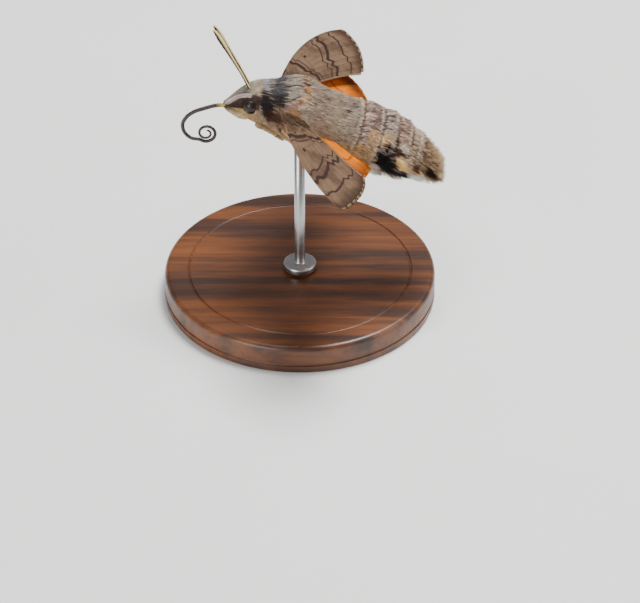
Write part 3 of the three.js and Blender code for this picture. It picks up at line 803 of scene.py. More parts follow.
def fur(name, count, x_range, down_range, length, width, lift, drift=0.12, spread=0.13, dark=0.06,
        rise=0.0, sides=(1, -1), stations=SHORT, clump=(0.7, 0.45, 0.35), stand=0.0, tip_share=0.0,
        root_shade=0.5):
    """Blades on a stretch of the body: each has its root at random in a range of x and of degrees from
    the back, on the left side (1) or the right (-1), and runs back by a length with a sideways drift.
    Lift is the share of the coat's depth that its tip rises by. Rise bows it, stand lifts its tip out
    of the coat, and clump (length, breadth, pull) draws it towards its clump's middle."""
    x = CHANCE.uniform(*x_range, count)
    down = np.radians(CHANCE.uniform(*down_range, count))
    side = np.array(sides)[CHANCE.integers(0, len(sides), count)]
    angle = np.pi / 2 + down * side
    reach = length * CHANCE.uniform(0.65, 1.2, count)
    from_comb = (np.stack([x, np.degrees(down)], -1) - COMB_MIDDLE) / COMB_SIZE
    combed = COMB * soft(np.hypot(*from_comb.T), 0.4) * side
    way = CHANCE.normal(0, drift, count) + combed
    radius = along(BODY, x)[:, 1:].mean(1)
    pull_x, pull_arc, clump_tone = clump_of(x, angle * radius, clump[0], clump[1])
    s = stations[None]
    path_x = x[:, None] + (reach * np.cos(way) + clump[2] * pull_x)[:, None] * s
    path_turn = angle[:, None] + ((reach * np.sin(way) + clump[2] * pull_arc) / radius)[:, None] * s
    depth = along(COAT_DEPTH, path_x)[..., 0]
    tip = np.clip(CHANCE.normal(lift, 0.22, count), 0.05, 1.3)[:, None]
    out = stand * CHANCE.uniform(0.4, 1.0, count)[:, None] * s**1.6
    off = skin_level(path_x) + tip * depth * s**1.2 - ROOT_SINK * (1 - s) ** 2
    off = off + rise * np.sin(np.pi * s) + out
    middles = on_body(path_x, path_turn, off)
    across = unit(on_body(path_x, path_turn + 0.01, off) - on_body(path_x, path_turn - 0.01, off))
    tilt = CHANCE.normal(0, 0.25, count)[:, None, None]
    tangent = unit(np.gradient(middles, axis=1))
    across = unit(across + tilt * np.cross(across, tangent))
    keep = clear_of(middles[:, 1:], EYES, EYE_RADIUS) & clear_of(middles[:, 1:], leg_spots, LEG_CLEARANCE)
    base = markings(path_x[:, -2:].mean(1), path_turn[:, -2:].mean(1))
    base = tint(base, spread, dark, count) * (0.86 + 0.28 * clump_tone)[:, None]
    root_uv = on_map((x - x_range[0]) / (x_range[1] - x_range[0]), (angle / (2 * np.pi)) % 1)
    widths = width * CHANCE.uniform(0.6, 1.3, count)
    patchy = np.clip(streaks(x[keep] + 11, angle[keep], 3.0, 3.5) * 1.6 - 0.2, 0, 1)
    pale_tips = tip_share * soft(from_back(angle[keep]) / 100, 0.25) * patchy
    # Painted shade: each blade is darkened towards its root and a little lightened at its tip, for the
    # shade deep in the coat.
    tip_colour = laid(np.clip(base[keep] * 1.1, 0, 0.95), pale_tips, PALE_RIM)
    base = base[keep] * root_shade
    coat_piece(name, blades(middles[keep], across[keep], widths[keep], root_uv[keep], base, tip_colour))


# %% The coat, from the face back
fur("coat_face", 9000, (-8.14, -5.3), (0, 180), 0.42, 0.07, 0.7, drift=0.1, spread=0.1, dark=0.04,
    clump=(0.3, 0.2, 0.2))
fur("coat_crown", 9000, (-5.5, -3.7), (0, 180), 0.7, 0.085, 0.8, drift=0.14, spread=0.12,
    clump=(0.4, 0.3, 0.3))
fur("coat_collar", 8500, (-4.0, -2.0), (0, 180), 1.0, 0.1, 0.85,
    drift=0.14, spread=0.15, clump=(0.6, 0.4, 0.4))
fur("coat_shoulders", 9000, (-3.3, 0.1), (0, 64), 2.1, 0.12, 0.95, drift=0.08, rise=0.12, stations=LONG,
    clump=(1.4, 0.55, 0.6))
fur("coat_thorax_left", 10500, (-2.3, 4.9), (0, 180), 1.5, 0.11, 0.85, drift=0.16, sides=(1,))
fur("coat_thorax_right", 10500, (-2.3, 4.9), (0, 180), 1.5, 0.11, 0.85, drift=0.16, sides=(-1,))

# %% [markdown]
# ## The rings of the abdomen
#
# Each ring has short flat scales, and a fringe of longer, paler ones along its rear edge that laps
# over the next ring. The fringe is what makes the rings readable from a step away.

# %% Abdomen
for ring, (start, end) in enumerate(zip(RING_ENDS[:-1], RING_ENDS[1:])):
    rear = ring >= 2
    fur(f"coat_ring_{ring + 1}", 5000, (start - 0.05, end - (0.4 if ring else 0.0)), (0, 180), 0.9,
        0.14 if rear else 0.12, 0.6, drift=0.1, spread=0.2 if rear else 0.14, clump=(0.6, 0.4, 0.3))
    if ring:
        fur(f"coat_fringe_{ring + 1}", 1800, (end - 0.75, end - 0.5), (0, 180), 0.7, 0.11, 1.0,
            drift=0.07, spread=0.12, dark=0.02, clump=(0.8, 0.5, 0.5), tip_share=0.65)

# %% [markdown]
# ## Side tufts and tail brush
#
# Low on each side the later rings carry tufts of long scales, black, white and cream, that stand out
# from the flank. The tail ends in a flat brush that the moth steers with. Both are longer blades, set
# in layers, and the brush follows its own flat outline out to a ragged edge.

# %% Side tufts
TUFTS = [
    # ring end, degrees from the back, length, stand-off of the tips, blades
    (9.2, (130, 146), 1.9, 0.3, 500),
    (12.1, (116, 148), 2.2, 0.4, 1200),
    (14.0, (84, 140), 2.2, 0.3, 1900),
    (12.9, (136, 156), 2.3, 0.9, 900),
    (16.3, (82, 142), 2.2, 0.35, 2200),
    (15.8, (138, 154), 2.1, 0.9, 800),
    (18.2, (92, 146), 2.1, 0.35, 2200),
]
for number, (end, spread_down, length, stand, count) in enumerate(TUFTS):
    fur(f"side_tuft_{number + 1}", count, (end - 1.9, end - 0.5), spread_down, length, 0.15, 1.1,
        drift=0.1, spread=0.1, dark=0.02, rise=0.15, stations=LONG, clump=(1.2, 0.6, 0.6), stand=stand,
        root_shade=0.7)

# %% Tail brush
fur("tail_brush_inner", 4200, (17.4, 20.0), (0, 180), 2.45, 0.13, 0.7, drift=0.08, spread=0.2, dark=0.12,
    stations=LONG, clump=(1.2, 0.5, 0.6), root_shade=0.6)
fur("tail_brush_outer", 6700, (17.4, 21.1), (0, 180), 1.3, 0.12, 1.0, drift=0.1, spread=0.24, dark=0.12,
    clump=(0.9, 0.45, 0.4), stand=0.2, root_shade=0.6)

# %% [markdown]
# ## Eyes
#
# A moth's eye is a dark dome of thousands of facets, with darker false pupils that seem to float in
# it. A sphere set into the head gives the dome. The facets are far smaller than a pixel from a step
# away, so they are a bump of tiny cells under a glossy coat. A ring of short scales hides the joint
# between dome and skin.

# %% Eyes
eye_finish, tree, shader = material("faceted eye", 0.32, Specular_IOR_Level=0.3)
places = own_places(tree)
cells = add(tree, "ShaderNodeTexVoronoi", {"Vector": places, "Scale": 14000.0}).outputs["Distance"]
cloud = ramp(tree, noise(tree, places, 1400.0, 2.0), 0.35, 0.65)
iris = mixed(tree, cloud, light(24, 18, 16), light(42, 34, 30))
iris = mixed(tree, mark(tree, "pupil"), iris, light(8, 5, 5))
iris = mixed(tree, times(tree, cells, 0.1), iris, light(70, 58, 52))
tree.links.new(iris, shader.inputs["Base Color"])
raised(tree, cells, 0.06, 0.00001, shader)

# False pupils: place across, height, half width, half height, in shares of the eye's radius.
PUPILS = [
    (-0.45, 0.0, 0.17, 0.42), (0.3, 0.05, 0.24, 0.55), (0.75, 0.1, 0.12, 0.4), (-0.1, -0.85, 0.5, 0.16),
]
SEEN_UPRIGHT, SEEN_OUTWARD = 0.81, 0.59  # cosine and sine of the camera's drop
POLE = 1.47  # how far up and down the rows of points go, in radians
EYE_ROWS, EYE_SIDES = 48, 72
rise, turn = np.meshgrid(
    np.linspace(-POLE, POLE, EYE_ROWS), 2 * np.pi * np.arange(EYE_SIDES) / EYE_SIDES, indexing="ij")
ways = np.stack([np.cos(rise) * np.cos(turn), np.cos(rise) * np.sin(turn), np.sin(rise)], -1)
across = ways[..., 0] * math.cos(PITCH) + ways[..., 2] * math.sin(PITCH)
upright = ways[..., 2] * math.cos(PITCH) - ways[..., 0] * math.sin(PITCH)
for (side, _), centre in zip(SIDES, EYES):
    points, faces = closed_rings(centre + EYE_RADIUS * ways)
    outward = ways[..., 1] * np.sign(centre[1])
    height = SEEN_UPRIGHT * upright - SEEN_OUTWARD * outward
    dark = sum(
        np.clip(1.4 - np.hypot((across - x) / w, (height - z) / h) ** 2, 0, 1) for x, z, w, h in PUPILS
    )
    marks = {"pupil": np.concatenate([np.clip(dark, 0, 1).ravel(), [0.0, 0.0]])}
    piece = new_piece(f"eye_dome_{side}", points, faces, eye_finish, marks=marks)
    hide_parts(f"eye_{side}")


RIM_SCALES = 1500
RIM_GREY = light(176, 162, 148)
RIM_FROM, RIM_TO = 0.5, 1.9  # how far from the eye's middle its rim is looked for
HEAD_RADIUS = 2.4


def eye_rim(name, centre, count):
    """Short scales round an eye: each starts where the skin leaves the dome, and lies outward and back."""
    turn = CHANCE.uniform(0, 2 * np.pi, count)
    base = np.arctan2(centre[2] - along(BODY, centre[0])[0], centre[1])
    steps = np.linspace(RIM_FROM, RIM_TO, 80)
    x = centre[0] + steps[None] * np.cos(turn)[:, None]
    angle = base + steps[None] * np.sin(turn)[:, None] / HEAD_RADIUS
    skin_points = on_body(x, angle, skin_level(x))
    outside = np.linalg.norm(skin_points - centre, axis=-1) > EYE_RADIUS + 0.01
    first = np.argmax(outside, axis=1)
    start = steps[first] + CHANCE.uniform(-0.02, 0.2, count)
    reach = CHANCE.uniform(0.12, 0.24, count)[:, None] * SHORT[None]
    path_x = (centre[0] + start * np.cos(turn))[:, None] + reach * (0.6 * np.cos(turn) + 0.5)[:, None]
    risen = (start * np.sin(turn))[:, None] + reach * (0.7 * np.sin(turn))[:, None]
    path_turn = base + risen / HEAD_RADIUS
    off = skin_level(path_x) - 0.06 + 0.2 * np.broadcast_to(SHORT, path_x.shape)
    middles = on_body(path_x, path_turn, off)
    body_middle = np.stack([path_x, 0 * path_x, along(BODY, path_x)[..., 0]], -1)
    outward = unit(middles - body_middle)
    across = unit(np.cross(outward, unit(np.gradient(middles, axis=1))))
    behind = 0.6 * np.clip(np.cos(turn) * 1.6 + 0.1, 0, 1)
    colour = laid(markings(path_x[:, 1], path_turn[:, 1]), behind, RIM_GREY)
    colour = tint(colour, 0.1, 0.05, count)
    root_uv = on_map(turn / (2 * np.pi), (start - RIM_FROM) / 2)
    widths = 0.07 * CHANCE.uniform(0.7, 1.2, count)
    # Painted shade: the rim scales are darker at the root, for the shade deep in the coat.
    coat_piece(name, blades(middles, across, widths, root_uv, colour * 0.6, colour))


for (side, _), centre in zip(SIDES, EYES):
    eye_rim(f"eye_rim_{side}", centre, RIM_SCALES)

# %% [markdown]
# ## Tongue
#
# The tongue is two half-pipes zipped together, finely ringed like a hose, so its section is a little
# narrower along the seam. It arches down from the face and ends in a coil. The base is pale, the rest
# dark and glossy.

# %% Tongue
TONGUE_ARCH = [
    [-7.6, 0, -2.75], [-8.9, 0, -3.3], [-10.2, 0, -4.3], [-11.25, 0, -5.25],
    [-11.85, 0, -6.3], [-12.0, 0, -7.5], [-11.4, 0, -8.6], [-10.3, 0, -9.2],
]
COIL_MIDDLE = (-8.63, -7.82)
COIL_RADIUS, COIL_INNER = 1.32, 0.42
COIL_START, COIL_TURNS, COIL_POINTS = math.radians(-110), 1.6, 22
TONGUE_RADII = [0.28, 0.26, 0.22, 0.14]
TONGUE_STEPS, TONGUE_SIDES = 520, 16
TONGUE_RIPPLES = 1400.0  # radians of ripple from root to tip
PALE_BASE = 0.07  # the share of the tongue that is pale

horn_finish, tree, shader = material("glossy horn", 0.25, Coat_Weight=0.25, Coat_Roughness=0.12)
waves = maths(tree, "SINE", times(tree, mark(tree, "ringed"), TONGUE_RIPPLES))
horn = mixed(tree, mark(tree, "pale"), light(30, 18, 14), light(224, 196, 120))
horn = mixed(tree, times(tree, waves, 0.07), horn, light(110, 84, 62))
tree.links.new(horn, shader.inputs["Base Color"])
raised(tree, waves, 0.35, 0.00003, shader)

t = np.linspace(0, 1, COIL_POINTS)
turn = COIL_START + 2 * np.pi * COIL_TURNS * t
reach = COIL_RADIUS - (COIL_RADIUS - COIL_INNER) * t**1.2
coil = np.stack([COIL_MIDDLE[0] + reach * np.cos(turn), 0 * t, COIL_MIDDLE[1] + reach * np.sin(turn)], -1)
centres = smooth_path(np.concatenate([TONGUE_ARCH, coil]), TONGUE_STEPS)
share = np.linspace(0, 1, len(centres))
thick = np.interp(share, [0, 1 / 3, 2 / 3, 1], TONGUE_RADII) * np.clip((1 - share) / 0.01, 0.3, 1) ** 0.5
around = 2 * np.pi * np.arange(TONGUE_SIDES) / TONGUE_SIDES
seam = 0.86 + 0.14 * np.abs(np.cos(around)) ** 0.6
points, faces = closed_rings(sweep(centres, thick[:, None] * seam[None], TONGUE_SIDES, SIDEWAYS))
marks = {
    "pale": np.append(np.repeat(np.clip(1 - share / PALE_BASE, 0, 1), TONGUE_SIDES), [1.0, 0.0]),
    "ringed": np.append(np.repeat(share, TONGUE_SIDES), [0.0, 1.0]),
}
tongue = new_piece("tongue", points, faces, horn_finish, marks=marks)
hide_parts("proboscis")

# %% [markdown]
# ## Feelers
#
# A feeler is a string of short drum-like joints that thickens to a club and ends in a small hook.
# The side that faces up and back, to the light, is cream-scaled; the other side is painted dark as shade.
# The joints are ripples in the radius, so they catch the light as real ones do.

# %% Feelers
FEELER = [
    [-5.3, -0.5, 0.45], [-5.9, -0.53, 1.1], [-7.6, -0.54, 2.8], [-9.8, -0.56, 4.85],
    [-12.0, -0.57, 6.85], [-12.95, -0.57, 7.65], [-13.35, -0.57, 7.8],
]
FEELER_RADII = [0.2, 0.16, 0.15, 0.22, 0.35, 0.24, 0.04]
FEELER_JOINTS, FEELER_SIDES = 46, 20
LIT_SIDE = unit(np.array([0.75, -0.1, 0.65]))  # up and back

feeler_finish, tree, shader = material("scaled feeler", 0.6, Specular_IOR_Level=0.2)
# Painted shade: the dark colour is the feeler's shaded side, the cream its scales.
feeler_colour = mixed(tree, mark(tree, "pale"), light(42, 29, 23), light(204, 190, 154))
grained(tree, shader, feeler_colour, 5000.0, 9000.0, 0.45, 0.4)

centres = smooth_path(FEELER, FEELER_JOINTS * 8 + 1)
share = np.linspace(0, 1, len(centres))
lengths = np.concatenate([[0], np.cumsum(np.linalg.norm(np.diff(np.array(FEELER), axis=0), axis=1))])
thick = np.interp(share, lengths / lengths[-1], FEELER_RADII)
ripple = 1 - 0.13 * np.abs(np.cos(np.pi * FEELER_JOINTS * share)) ** 6
shape = sweep(centres, thick * ripple, FEELER_SIDES, SIDEWAYS)
# Painted shade: points that face away from the light, up and back, get the dark colour.
facing = (shape - centres[:, None]) / thick[:, None, None] @ LIT_SIDE
marks = {"pale": np.append(np.clip(0.5 + 4.5 * (facing - 0.36), 0, 1).ravel(), [1.0, 0.0])}
for side, flip in SIDES:
    points, faces = closed_rings(shape * flip)
    piece = new_piece(f"feeler_{side}", points, faces, feeler_finish, marks=marks)
    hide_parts(f"antenna_{side}")

# %% [markdown]
# ## Palps
#
# Two blunt, densely scaled lobes point forward under the face and hold the tongue's base between
# them. Each is a tapered tube, furred like the body with its own short blades.

# %% Fur on a limb
LAST_ROOT = 0.97  # the share of a limb up to which blades have their roots


def limb_fur(name, path, radii, count, length, width, lift, colour_of, flip):
    """Blades on a tube round a path, running along it, from a root at random along and around."""
    walked = np.concatenate([[0], np.cumsum(np.linalg.norm(np.diff(path, axis=0), axis=1))])
    root = CHANCE.uniform(0.0, LAST_ROOT, count)
    turn = CHANCE.uniform(0, 2 * np.pi, count)
    step = np.minimum(length * CHANCE.uniform(0.7, 1.2, count) / walked[-1], 1 - root)
    share = root[:, None] + step[:, None] * SHORT[None]
    steps = walked / walked[-1]
    middles, ahead, behind = (
        np.stack([np.interp(share + shift, steps, path[:, c]) for c in range(3)], -1)
        for shift in (0, 0.01, -0.01)
    )
    tangent = unit(ahead - behind)
    side = unit(np.cross(tangent, SIDEWAYS))
    up = np.cross(side, tangent)
    thick = np.interp(share, np.linspace(0, 1, len(radii)), radii)
    out = np.cos(turn)[:, None, None] * side + np.sin(turn)[:, None, None] * up
    stand = thick - 0.04 + (lift * CHANCE.uniform(0.5, 1.2, count))[:, None] * SHORT[None]
    middles = middles + out * stand[..., None]
    across = unit(np.cross(out, tangent))
    colour = tint(colour_of(root, turn), 0.13, 0.06, count)
    root_uv = on_map(root, turn / (2 * np.pi))
    widths = width * CHANCE.uniform(0.6, 1.3, count)
    # Painted shade: darker at the root and a little lighter at the tip, for the shade deep in the coat.
    made = blades(middles, across, widths, root_uv, colour * 0.6, colour * 1.05)
    coat_piece(name, made, flip)


# %% Palps
PALP = [[-4.5, -1.0, -2.95], [-5.8, -1.05, -2.77], [-7.0, -0.9, -2.7], [-7.95, -0.5, -2.78]]
PALP_RADII = [  # share of the way to the tip, and radius
    [0.0, 0.1], [0.08, 0.4], [0.35, 0.6], [0.6, 0.48], [0.8, 0.34], [0.95, 0.17], [1.0, 0.04],
]
PALP_STEPS, PALP_SIDES = 70, 24
# Painted shade: palp and leg cores are darkened to stand for the shade between their blades.
CORE_SHADE = 0.5  # palps and legs show only as the dark between their blades

palp_path = smooth_path(PALP, PALP_STEPS)
palp_share = np.linspace(0, 1, PALP_STEPS)
palp_thick = np.interp(palp_share, *np.array(PALP_RADII).T) - 0.05 * np.sin(np.pi * palp_share)


def palp_colour(root, turn):
    """Cream below, and as dark as the mask on top near the tip."""
    on_top = np.clip(1.5 * root - 0.5 * np.cos(turn) - 0.7, 0, 1)
    return laid(CREAM, on_top, MASK)


for side, flip in SIDES:
    name = f"palp_{side}"
    points, faces = closed_rings(sweep(palp_path, palp_thick, PALP_SIDES, SIDEWAYS) * flip)
    marks = {"coat": np.broadcast_to(CREAM * CORE_SHADE, (len(points), 3))}
    piece = new_piece(f"{name}_core", points, faces, skin_finish, marks=marks)
    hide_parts(name)
    limb_fur(f"{name}_coat", palp_path, palp_thick, count=2600, length=0.42, width=0.075, lift=0.12,
             colour_of=palp_colour, flip=flip)

# %% [markdown]
# ## Legs
#
# In flight the legs are folded back against the body, half sunk in its fur. Each has a stout thigh, a
# shin with a pair of spurs at its end, and a thin foot of five joints with two claws. The radius
# along the leg swells and pinches at the joints. Flat scales cover thigh and shin.

# %% Legs
LEG_PROFILE = [  # share of the way to the foot's tip, and radius
    [0.0, 0.12], [0.05, 0.3], [0.16, 0.4], [0.3, 0.36], [0.36, 0.24], [0.4, 0.29], [0.6, 0.25],
    [0.66, 0.17], [0.7, 0.19], [0.76, 0.15], [0.77, 0.18], [0.83, 0.14], [0.84, 0.17], [0.9, 0.13],
    [0.91, 0.16], [0.96, 0.12], [1.0, 0.05],
]
LEG_STEPS, LEG_SIDES = 140, 18
SPUR_STEP, SHIN_STEPS = 88, (85, 95)  # where the spurs sit, and the steps that give their way
CLAW_STEP, FOOT_STEPS = -3, (-5, -1)  # the same for the claws, counted from the foot's tip
LEG_ENDS = [0.35, 0.67, 0.765, 0.835, 0.905]  # where thigh, shin and the foot's first joints end
FOOT_FROM = 0.66
LEG_TAN = light(212, 188, 158)
CLAW_BROWN = light(60, 42, 32)


def spike(start, way, length, radius):
    """A cone that bends a little down: its middle line is start plus way by t, less a bit of t squared."""
    t = np.linspace(0, 1, 8)
    sag = np.array([0.0, 0.0, -0.12]) * (length * t**2)[:, None]
    centres = start + way * (length * t)[:, None] + sag
    return closed_rings(sweep(centres, radius * (1 - 0.92 * t), 8, np.array([0.3, 1.0, 0.2])))


def joined(parts):
    """Several lots of points and faces as one, each lot's faces counted on from the last."""
    points = np.concatenate([p for p, _ in parts])
    starts = np.cumsum([0] + [len(p) for p, _ in parts[:-1]])
    faces = [block + start for start, (_, blocks) in zip(starts, parts) for block in blocks]
    return points, faces


def leg_colour(root, turn):
    """Tan, darker on the foot, with pale ends to thigh, shin and the foot's joints."""
    from_end = np.min(np.abs(root[:, None] - LEG_ENDS), axis=1)
    tone = np.where(root < FOOT_FROM, 0.95, 0.6) + 0.5 * (from_end < 0.015) + 0.1 * np.cos(turn)
    return np.clip(LEG_TAN * tone[:, None], 0, 0.9)


for leg, path in leg_paths.items():
    fine = smooth_path(path[::6], LEG_STEPS)
    thick = np.interp(np.linspace(0, 1, LEG_STEPS), *np.array(LEG_PROFILE).T)
    shin_way = unit(fine[SHIN_STEPS[1]] - fine[SHIN_STEPS[0]])
    foot_way = unit(fine[FOOT_STEPS[1]] - fine[FOOT_STEPS[0]])
    limb = closed_rings(sweep(fine, thick, LEG_SIDES, np.array([0.2, 1.0, 0.3])))
    spur_ways = [unit(shin_way + np.array([0.0, s * 0.35, -0.25])) for s in (-1, 1)]
    claw_ways = [unit(foot_way + np.array([0.0, s * 0.5, -0.1])) for s in (-1, 1)]
    spurs = [spike(fine[SPUR_STEP], way, 0.9, 0.07) for way in spur_ways]
    claws = [spike(fine[CLAW_STEP], way, 0.3, 0.035) for way in claw_ways]
    parts = [limb, *spurs, *claws]
    tones = [LEG_TAN * CORE_SHADE, LEG_TAN * 0.9, LEG_TAN * 0.9, CLAW_BROWN, CLAW_BROWN]
    leg_tint = np.concatenate([np.tile(tone, (len(part[0]), 1)) for tone, part in zip(tones, parts)])
    marks = {"coat": leg_tint}
    points, faces = joined(parts)
    for side, flip in SIDES:
        name = f"{leg}_{side}"
        piece = new_piece(f"{name}_limb", points * flip, faces, skin_finish, marks=marks)
        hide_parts(name)
        limb_fur(f"{name}_coat", fine, thick, count=1600, length=0.42, width=0.12, lift=0.1,
                 colour_of=leg_colour, flip=flip)

# %% [markdown]
# ## Wings
#
# A wing is a membrane far thinner than paper, stiffened by veins and covered with scales on both
# sides. Its plan is a formula: how far out along the span, and how far back from the leading edge.
# The veins are low ridges on that surface, with a shallow trough between each two, so that the light
# breaks along them as it does on the real wing.

# %% The wing's shape
WING_THICKNESS = 0.1
VEIN_HEIGHT, VEIN_HALF, TROUGH = 0.055, 0.008, 0.07
CELL_END = 0.45  # the share of the span at which the wing's closed cell ends

# Lengths in millimetres and angles in degrees; a vein is its share of the chord and where it begins.
FOREWING = {
    "root": (-1.9, -2.9, 1.15), "sweep": 17, "droop": 1, "incidence": 2,
    "apex": (20.5, 2.7), "rear": (13.0, 8.6), "root_chord": 2.4,
    "bow": 0.5, "hollow": 0.5, "bulge": 0.75, "rounding": 0.05, "camber": 0.5,
    "veins": [
        (0.05, 0), (0.17, 0), (0.3, CELL_END), (0.43, CELL_END), (0.56, CELL_END), (0.69, 0),
        (0.8, 0.3), (0.92, 0),
    ],
}
HINDWING = {
    "root": (1.3, -2.9, -0.15), "sweep": 12, "droop": 4, "incidence": 2,
    "apex": (12.5, 1.5), "rear": (6.4, 9.0), "root_chord": 2.4,
    "bow": 0.5, "hollow": 0.2, "bulge": 1.2, "rounding": 0.07, "camber": 0.3,
    "veins": [(0.07, 0), (0.22, 0), (0.4, CELL_END), (0.58, 0), (0.75, 0.3), (0.9, 0)],
}


def wing_point(wing, u, v, rise):
    """A point of a wing, u from root to margin and v from leading to inner edge, raised by rise."""
    apex_p, apex_q = wing["apex"]
    rear_p, rear_q = wing["rear"]
    dip = np.sin(np.pi * np.clip(u, 0, 1))
    leading_q = apex_q * u**3 - wing["bow"] * dip
    inner_q = wing["root_chord"] + (rear_q - wing["root_chord"]) * u - wing["hollow"] * dip
    chord = math.hypot(apex_p - rear_p, rear_q - apex_q)
    bulge = wing["bulge"] * u**3 * np.sin(np.pi * v) / chord
    corner = np.maximum(1 - 7 * np.minimum(v, 1 - v), 0) ** 2 * u**6
    p = apex_p * u * (1 - v) + rear_p * u * v + bulge * (rear_q - apex_q)
    q = leading_q * (1 - v) + inner_q * v + bulge * (apex_p - rear_p)
    p = p * (1 - wing["rounding"] * corner)
    x, y, z = wing["root"]
    sweep_back, droop, tilt = (math.radians(wing[key]) for key in ("sweep", "droop", "incidence"))
    arch = wing["camber"] * np.sin(np.pi * np.clip(v, 0, 1)) * u
    return np.stack([
        x + p * math.sin(sweep_back) + q * math.cos(sweep_back),
        y - p * math.cos(sweep_back) + q * math.sin(sweep_back),
        z + rise + arch - p * math.sin(droop) - q * math.sin(tilt),
    ], -1)


def vein_relief(wing, u, v):
    """Ridges at the veins, and between two veins a shallow trough that fades towards the root."""
    ridges = np.zeros_like(u)
    for place, start in wing["veins"]:
        begun = np.clip((u - start + 0.02) / 0.04, 0, 1) if start else 1.0
        ridges = np.maximum(ridges, np.exp(-(((v - place) / VEIN_HALF) ** 2)) * begun)
    first, last = wing["veins"][1][0], wing["veins"][-3][0]
    cross = np.exp(-(((u - CELL_END) / 0.006) ** 2)) * (v > first) * (v < last)
    ridges = np.maximum(ridges, cross)
    places = np.array([0.0] + [place for place, _ in wing["veins"]] + [1.0])
    between = np.interp(v, places, np.arange(len(places)))
    trough = np.sin(np.pi * between) ** 2 * u * (u > CELL_END)
    return ridges * VEIN_HEIGHT, -trough * TROUGH * np.clip((u - CELL_END) / 0.2, 0, 1)


# %% [markdown]
# ## The wings' colours
#
# The forewing is grey-brown above with dark wavy lines across it, and the hindwing is orange with a
# brown border. Below, both are orange-brown. The lines follow the wing's own plan, which each point
# carries as two numbers, so they bend with the wing.

# %% Cross line group
def cross_line():
    """A wavy line across the wing: dark where the span is near a place that wobbles with the chord."""
    numbers = ("Span", "Chord", "Place", "Slant", "Wave", "Half width")
    group, given, end = node_group("cross line", ("Colour", "Line", *numbers), ("Colour",))
    chord, slant = given["Chord"], given["Slant"]
    slow = maths(group, "SINE", plus(group, times(group, chord, 9.0), slant))
    phase = plus(group, times(group, chord, 22.0), times(group, slow, 2.2))
    ripple = times(group, plus(group, maths(group, "SINE", phase), slow), given["Wave"])
    shift = times(group, minus(group, chord, 0.5), slant)
    middle = plus(group, given["Place"], plus(group, ripple, shift))
    distance = maths(group, "ABSOLUTE", minus(group, given["Span"], middle))
    off = ramp(group, maths(group, "DIVIDE", distance, given["Half width"]), 0.4, 1.3)
    near = minus(group, 1.0, off)
    group.links.new(mixed(group, near, given["Colour"], given["Line"]), end["Colour"])
    return group


CROSS_LINE = cross_line()
DOT_HALF = (0.018, 0.035)  # half the dot's size along the span and along the chord


def wing_finish(name, upper, line, lines, margin, margin_at, base, under, under_margin, dot=None):
    """Upper and under sides by the side mark, each with its margin, and lines and a dot on the upper."""
    made, tree, shader = material(name, 0.7, Specular_IOR_Level=0.1)
    span, chord = mark(tree, "span"), mark(tree, "chord")
    top = mixed(tree, ramp(tree, span, 0.3, 0.0), upper, base)
    for place, slant, wave, half, tone in lines:
        inputs = {"Colour": top, "Line": line * tone, "Span": span, "Chord": chord}
        inputs |= {"Place": place, "Slant": slant, "Wave": wave, "Half width": half}
        top = add(tree, "ShaderNodeGroup", inputs, node_tree=CROSS_LINE).outputs["Colour"]
    top = mixed(tree, ramp(tree, span, *margin_at), top, margin)
    if dot:
        away = [
            maths(tree, "POWER", maths(tree, "DIVIDE", minus(tree, at, middle), half), 2.0)
            for at, middle, half in zip((span, chord), dot, DOT_HALF)
        ]
        near = minus(tree, 1.0, ramp(tree, plus(tree, *away), 0.6, 1.2))
        top = mixed(tree, near, top, light(26, 20, 18))
    cloud = ramp(tree, noise(tree, own_places(tree), 420.0, 3.0), 0.42, 0.66)
    top = mixed(tree, times(tree, cloud, 0.55), top, line * 1.6)
    below = mixed(tree, ramp(tree, span, 0.72, 1.0), under, under_margin)
    below = mixed(tree, ramp(tree, span, 0.35, 0.0), below, light(176, 150, 112))
    colour = mixed(tree, mark(tree, "upper"), below, top)
    colour = mixed(tree, times(tree, mark(tree, "vein"), 0.35), colour, light(52, 36, 24))
    grained(tree, shader, colour, 5200.0, 3600.0, 0.75, 0.5)
    return made


# Each line: place along the span, slant, waviness, half width and tone.
FOREWING_LINES = [
    (0.19, 0.1, 0.007, 0.03, 1.3), (0.35, 0.14, 0.01, 0.022, 1.0), (0.4, 0.14, 0.01, 0.007, 1.2),
    (0.63, -0.06, 0.014, 0.009, 1.1), (0.7, -0.06, 0.016, 0.02, 1.1), (0.86, 0.0, 0.01, 0.01, 1.4),
]
HINDWING_LINES = [(0.72, 0.0, 0.01, 0.02, 1.2)]

forewing_finish = wing_finish(
    "forewing scales", upper=light(98, 82, 70), line=light(36, 26, 23), lines=FOREWING_LINES,
    margin=light(58, 44, 37), margin_at=(0.9, 1.0), base=light(74, 60, 52),
    under=light(190, 108, 48), under_margin=light(100, 62, 40), dot=(0.47, 0.25),
)
hindwing_finish = wing_finish(
    "hindwing scales", upper=light(182, 114, 60), line=light(124, 72, 42), lines=HINDWING_LINES,
    margin=light(80, 44, 26), margin_at=(0.78, 0.96), base=light(110, 70, 40),
    under=light(210, 128, 54), under_margin=light(130, 76, 42),
)

